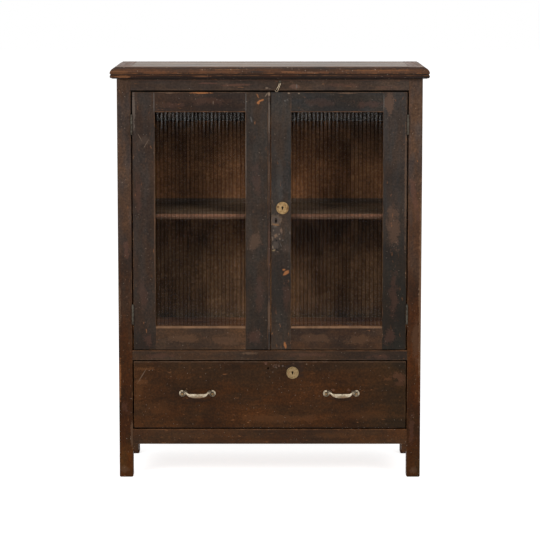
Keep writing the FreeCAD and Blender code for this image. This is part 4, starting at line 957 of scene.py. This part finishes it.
def turned_disc(name, x, z, back, front, radius, rim, dish, round_over, sides=96):
    """A turned round disc that stands on the front, with a raised rim round a dished middle."""
    disc = new_form(name, bpy.ops.mesh.primitive_cylinder_add, vertices=sides, radius=radius,
                    depth=back - front, location=(x, (back + front) / 2, z), rotation=FACING_FRONT)
    open_mesh()
    bpy.ops.mesh.select_mode(type="FACE")
    bpy.ops.mesh.select_all(action="DESELECT")
    shell = bmesh.from_edit_mesh(disc.data)
    for face in shell.faces:
        face.select_set(face.normal.y < -0.9)
    bmesh.update_edit_mesh(disc.data)
    bpy.ops.mesh.inset(thickness=rim)
    bpy.ops.mesh.extrude_region_move(TRANSFORM_OT_translate={"value": (0, dish, 0)})

    def rings_front(edge):
        reach = [math.hypot(vert.co.x - x, vert.co.z - z) for vert in edge.verts]
        return (all(abs(vert.co.y - front) < SAME_POINT for vert in edge.verts)
                and edge.calc_length() < rim and abs(reach[0] - reach[1]) <= rim / 2)

    select_edges(disc, rings_front)
    bpy.ops.mesh.bevel(offset=round_over, segments=4, affect="EDGES", clamp_overlap=True)
    close_mesh(35)
    return disc


def lock_plate(node, body, x, z, material):
    """One lock plate with its keyhole: a round hole over a narrow slot."""
    low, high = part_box(node)
    plate = turned_disc(node + "_plate", x, z, high.y, low.y, PLATE_RADIUS, PLATE_RIM, PLATE_DISH,
                        PLATE_ROUND)
    bpy.ops.object.select_all(action="DESELECT")
    bpy.ops.mesh.primitive_cylinder_add(vertices=24, radius=KEYHOLE_RADIUS, depth=CUTTER_LENGTH,
                                        location=(x, low.y, z + KEYHOLE_HALF - KEYHOLE_RADIUS),
                                        rotation=FACING_FRONT)
    cut_out(plate, bpy.context.object)
    bpy.ops.mesh.primitive_cube_add(size=1, location=(x, low.y, z - KEYHOLE_RADIUS / 2),
                                    scale=(KEYHOLE_RADIUS * 1.2, CUTTER_LENGTH,
                                           2 * KEYHOLE_HALF - KEYHOLE_RADIUS))
    cut_out(plate, bpy.context.object)
    dress(plate, material, body, "brass", node)


brass_of_door = worn_metal("tarnished_brass_of_door", (0.31, 0.205, 0.1), (0.2, 0.122, 0.052), 0.46,
                           150.0, patches=(
                               (25, 823, 3.8, 4.2, TARNISH, 0.85, 0.4),
                               (53, 819, 3.6, 5.0, TARNISH, 0.75, 0.5),
                               (47, 826, 2.4, 7, TARNISH, 0.55, 0.6, 15),
                               (31, 832, 7, 2.6, TARNISH, 0.45, 0.6, -35)))
brass_of_drawer = worn_metal("tarnished_brass_of_drawer", (0.245, 0.172, 0.088),
                             (0.17, 0.112, 0.052), 0.48, 150.0, patches=(
                                 (57, 318, 3, 6, (0.2, 0.1, 0.05), 0.5, 0.5),))
lock_plate("door_lock_rose", "right_door", 0.038, 0.82, brass_of_door)
lock_plate("drawer_lock_rose", "drawer", 0.0687, 0.3207, brass_of_drawer)
for node in ("door_lock_case", "door_lock_bolt", "drawer_lock_case", "drawer_lock_bolt"):
    cad[node].data.materials[0] = dull_iron


# --- The drawer -----------------------------------------------------------------------------------
# A stained front with two sides, a back and a bottom of bare softwood behind it.
DRAWER_COOL, DRAWER_WARM = (0.03, 0.0131, 0.0046), (0.0465, 0.0167, 0.0044)
DRAWER_MARKS = (
    (15, 343, 8, 6, (0.085, 0.045, 0.028), 0.7, 0.6, 20),
    (15.5, 340.6, 2.7, 2.2, NEARLY_BLACK, 1.0, 0.1),
    (19, 337, 4.5, 1.6, (0.12, 0.085, 0.06), 0.7, 0.3, -30),
    (27.5, 341, 3.0, 2.8, (0.135, 0.078, 0.054), 0.85, 0.2),
    (39, 341.6, 2.8, 2.4, (0.115, 0.082, 0.068), 0.8, 0.2),
    (9, 322.5, 2.2, 2.0, (0.11, 0.08, 0.062), 0.6, 0.3),
    (71, 347.8, 3.4, 2, (0.12, 0.06, 0.042), 0.7, 0.4), (111, 347, 2, 2, PALE, 0.5, 0.3),
    (-12, 349, 5, 5, REDDISH, 0.7, 0.5), (78, 330, 28, 24, (0.018, 0.012, 0.009), 0.5, 0.5),
    (384, 308, 28, 12, (0.11, 0.046, 0.024), 0.45, 0.9),
    (360, 302, 22, 5, (0.11, 0.044, 0.018), 0.4, 0.9),
    (390, 288, 18, 10, (0.1, 0.042, 0.022), 0.35, 0.9), (-386, 310, 1.4, 30, PALE, 0.4, 0.35, -32),
    (-330, 215, 50, 20, (0.088, 0.034, 0.011), 0.28, 0.9),
    (300, 190, 80, 14, (0.088, 0.034, 0.011), 0.3, 0.9),
    (-395, 260, 10, 60, (0.088, 0.036, 0.012), 0.35, 0.9),
    (-375, 332, 30, 5, (0.13, 0.052, 0.018), 0.45, 0.9),
    (-385, 292, 22, 7, (0.11, 0.042, 0.014), 0.45, 0.9),
    (30, 180, 120, 12, (0.09, 0.036, 0.013), 0.45, 0.7),
    # These two dark patches under the pulls are painted shadows of the pulls.
    (-218, 236, 40, 6, (0.016, 0.01, 0.007), 0.5, 0.4),
    (216, 240, 40, 6, (0.016, 0.01, 0.007), 0.5, 0.4),
    (192, 268, 4, 4, (0.14, 0.062, 0.034), 0.7, 0.5),
    (238, 268, 4, 4, (0.12, 0.056, 0.034), 0.7, 0.5), (-251, 271, 5, 3, (0.15, 0.08, 0.04), 0.6, 0.5))
# The drawer front's Z fade leaves its top greyer and bluer, partly dust and partly painted sheen; the
# nearly black band along its lower arris is painted shade, as in the gap below.
finish_wood("drawer_front", "drawer",
            stained("drawer_front", "x", 61.7, DRAWER_COOL, DRAWER_WARM, warmth=0.1, shine=0.08,
                    fades=(("Z", 0.355, 0.27, (0.86, 0.96, 1.15)), ("X", 0.41, 0.2, (0.6, 0.76, 0.92))),
                    bands=((352.8, 355.2, 0.6, (0.135, 0.08, 0.052), 0.8, 0.6),
                           (151.0, 153.6, 0.6, NEARLY_BLACK, 0.8, 0.1)),
                    patches=DRAWER_MARKS), arris=0.0006)
for seed, (node, along) in enumerate((("drawer_side_left", "y"), ("drawer_side_right", "y"),
                                      ("drawer_back", "x"), ("drawer_bottom", "x"))):
    cad[node].data.materials[0] = aged(node, along, 63.1 + seed)


# --- Drawer pulls ---------------------------------------------------------------------------------
# Two cast bows of plated brass. Each springs from two round dished feet, held by a brass screw, and
# swells to a broad leaf in the middle, where the plating is worn bright.
PULL_HEIGHT = 0.259
PULL_PLACES = (("left", -0.2182), ("right", 0.2157))
FOOT_FROM_MIDDLE = 0.0452
FOOT_RADIUS = 0.01
FOOT_HEIGHT = 0.004
FOOT_CENTRE = PULL_HEIGHT - 0.001
SCREW_CENTRE = PULL_HEIGHT - 0.003
SCREW_RADIUS = 0.0036
SCREW_SLOT = (0.0008, 0.0016, 0.008)
# One half of the bow in millimetres, from the middle to the foot: the outer face's place along the
# front and before it, the inner face's, and the heights of the upper and lower edges.
BOW = ((0, 32.3, 0, 29.2, 2.6, -11.6), (11, 32.2, 11, 29.0, 2.7, -11.1), (20, 31.9, 20, 28.6, 2.7, -9.4),
       (26.5, 31.2, 25.5, 27.8, 2.9, -7.0), (30.6, 29.4, 27.8, 25.6, 4.8, -4.2),
       (35.2, 25.6, 28.9, 21.4, 8.0, -0.6), (39.8, 20.6, 30.2, 16.0, 9.8, 2.0),
       (43.6, 14.4, 32.4, 10.6, 10.5, 3.0), (45.4, 1.2, 34.0, 1.2, 10.5, 3.0))
BOW_SECTION = ((-1.0, 0.3), (-0.72, 0.86), (0.0, 1.0), (0.72, 0.9), (1.0, 0.35), (0.78, 0.0),
               (0.0, 0.08), (-0.78, 0.0))


def drawn_along(name, rings):
    """A form drawn through a row of rings: a flat end face is extruded from each ring to the next."""
    form = new_form(name, bpy.ops.mesh.primitive_circle_add, vertices=len(rings[0]), fill_type="NGON",
                    location=(0, 0, 0))
    for vert, corner in zip(form.data.vertices, rings[0]):
        vert.co = corner
    open_mesh()
    bpy.ops.mesh.select_mode(type="FACE")
    for before, after in zip(rings, rings[1:]):
        bpy.ops.mesh.extrude_region_move()
        shell = bmesh.from_edit_mesh(form.data)
        for vert in [vert for vert in shell.verts if vert.select]:
            nearest = min(range(len(before)), key=lambda n: (vert.co - Vector(before[n])).length)
            vert.co = after[nearest]
        bmesh.update_edit_mesh(form.data)
    bpy.ops.mesh.select_all(action="SELECT")
    bpy.ops.mesh.normals_make_consistent(inside=False)
    bpy.ops.object.mode_set(mode="OBJECT")
    return form


def bow_ring(way, station):
    """One ring of a bow at the cabinet's middle: the leaf's section set between its four measures."""
    out_x, out_y, in_x, in_y, upper, lower = station
    return [(way * (in_x + (out_x - in_x) * outward) / 1000,
             drawer_face - (in_y + (out_y - in_y) * outward) / 1000,
             PULL_HEIGHT + ((upper + lower) / 2 + (upper - lower) / 2 * across) / 1000)
            for across, outward in BOW_SECTION]


drawer_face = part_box("drawer_front")[0].y
bow = drawn_along("pull_bow", [bow_ring(-1, station) for station in reversed(BOW[1:])]
                  + [bow_ring(1, station) for station in BOW])
rounded = bow.modifiers.new("rounded", "SUBSURF")
rounded.levels = rounded.render_levels = 2
bpy.ops.object.modifier_apply(modifier=rounded.name)
bpy.ops.object.shade_smooth_by_angle(angle=math.radians(60))
pull_parts = [bow]
for place in (-FOOT_FROM_MIDDLE, FOOT_FROM_MIDDLE):
    foot = turned_disc("pull_foot", place, FOOT_CENTRE, drawer_face, drawer_face - FOOT_HEIGHT,
                       FOOT_RADIUS, 0.0018, 0.0022, 0.0008, sides=48)
    screw = turned_disc("pull_screw", place, SCREW_CENTRE, drawer_face - 0.0005, drawer_face - 0.004,
                        SCREW_RADIUS, 0.0013, -0.0005, 0.0006, sides=32)
    bpy.ops.mesh.primitive_cube_add(size=1, location=(place, drawer_face - 0.0045, SCREW_CENTRE),
                                    scale=SCREW_SLOT)
    cut_out(screw, bpy.context.object)
    pull_parts += [foot, screw]

PLATE_WORN = (0.085, 0.066, 0.044)
COPPERY = (0.18, 0.085, 0.045)
screw_brass = worn_metal("screw_brass", (0.27, 0.17, 0.08), (0.15, 0.085, 0.04), 0.45, 300.0)
for side, middle_x in PULL_PLACES:
    centre = middle_x * 1000
    pull_marks = (
        (centre + 2, 251.0, 25, 4.4, (0.15, 0.105, 0.062), 0.8, 0.5),
        (centre + 12, 249.5, 15, 2.6, COPPERY, 0.5, 0.8), (centre - 24, 251, 6, 3, COPPERY, 0.5, 0.8),
        (centre + 2, 259, 2, 3, (0.08, 0.06, 0.045), 0.6, 0.5),
        # Dark patches on the lower inner sides of the feet: painted shade.
        (centre - 41, 251, 6, 6, (0.05, 0.036, 0.024), 0.8, 0.4),
        (centre + 40, 252, 5, 6, (0.05, 0.036, 0.024), 0.8, 0.4),
        (centre - 49, 251, 6, 6, PLATE_WORN, 0.7, 0.6),
        (centre + 49, 251, 6, 6, PLATE_WORN, 0.7, 0.6),
        (centre - 45.2, 258, 6.4, 6.4, (0.04, 0.032, 0.024), 0.9, 0.2),
        (centre + 45.2, 258, 6.4, 6.4, (0.04, 0.032, 0.024), 0.9, 0.2))
    worn_plate = worn_metal(side + "_worn_plate", (0.46, 0.39, 0.29), (0.25, 0.195, 0.13), 0.36, 120.0,
                            patches=pull_marks)
    for part in pull_parts:
        copy = part.copy()
        copy.data = part.data.copy()
        bpy.context.collection.objects.link(copy)
        copy.name = side + "_" + part.name.replace(".001", "_right")
        for vert in copy.data.vertices:
            vert.co.x += middle_x
        if "screw" in part.name:
            dress(copy, screw_brass, "drawer", "brass")
        else:
            dress(copy, worn_plate, "drawer", "pull_metal", "drawer_pulls")
for part in pull_parts:
    bpy.data.objects.remove(part)


# --- Wire hook ------------------------------------------------------------------------------------
# A wire bent over on itself, hung from a nail in the top rail, over the joint of the doors.
WIRE_RADIUS = 0.001
WIRE_BENDS = ((15.6, 1171.4), (17.4, 1168.2), (20.8, 1166.6), (24.0, 1169.4), (26.6, 1177.5),
              (29.4, 1184.5), (31.6, 1190.5), (33.4, 1195.2), (32.4, 1199.2), (29.2, 1199.9),
              (27.3, 1196.6), (28.2, 1191.0), (26.4, 1185.5), (22.4, 1178.5), (18.9, 1172.6))
low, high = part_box("wire_hook")
wire_y = (low.y + high.y) / 2
bend_line = bpy.data.curves.new("hook_wire", "CURVE")
bend_line.dimensions = "3D"
bend_line.bevel_depth = WIRE_RADIUS
bend_line.bevel_resolution = 3
bend_line.use_fill_caps = True
run = bend_line.splines.new("NURBS")
run.points.add(len(WIRE_BENDS) - 1)
for point, (x, z) in zip(run.points, WIRE_BENDS):
    point.co = (x / 1000, wire_y, z / 1000, 1)
run.order_u = 3
run.use_endpoint_u = True
run.resolution_u = 6
hook = bpy.data.objects.new("hook_wire", bend_line)
bpy.context.collection.objects.link(hook)
pick(hook)
bpy.ops.object.convert(target="MESH")
bpy.ops.object.shade_smooth_by_angle(angle=math.radians(60))
dull_wire = worn_metal("dull_wire", (0.56, 0.46, 0.33), (0.26, 0.19, 0.12), 0.42, 300.0,
                       patches=(
                           # The dark patch over the eye is painted shade under the moulding.
                           (30.5, 1199.5, 9, 8.0, (0.03, 0.021, 0.016), 0.95, 0.2),
                           (20, 1169, 7, 4.5, (0.15, 0.105, 0.07), 0.6, 0.4)))
dress(bpy.context.object, dull_wire, "wire_hook", "wire", "wire_hook")
cad["wire_hook_nail"].data.materials[0] = dull_iron


# --- Sizes ----------------------------------------------------------------------------------------
# The imported part's box and the dressed part's box.
low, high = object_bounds()
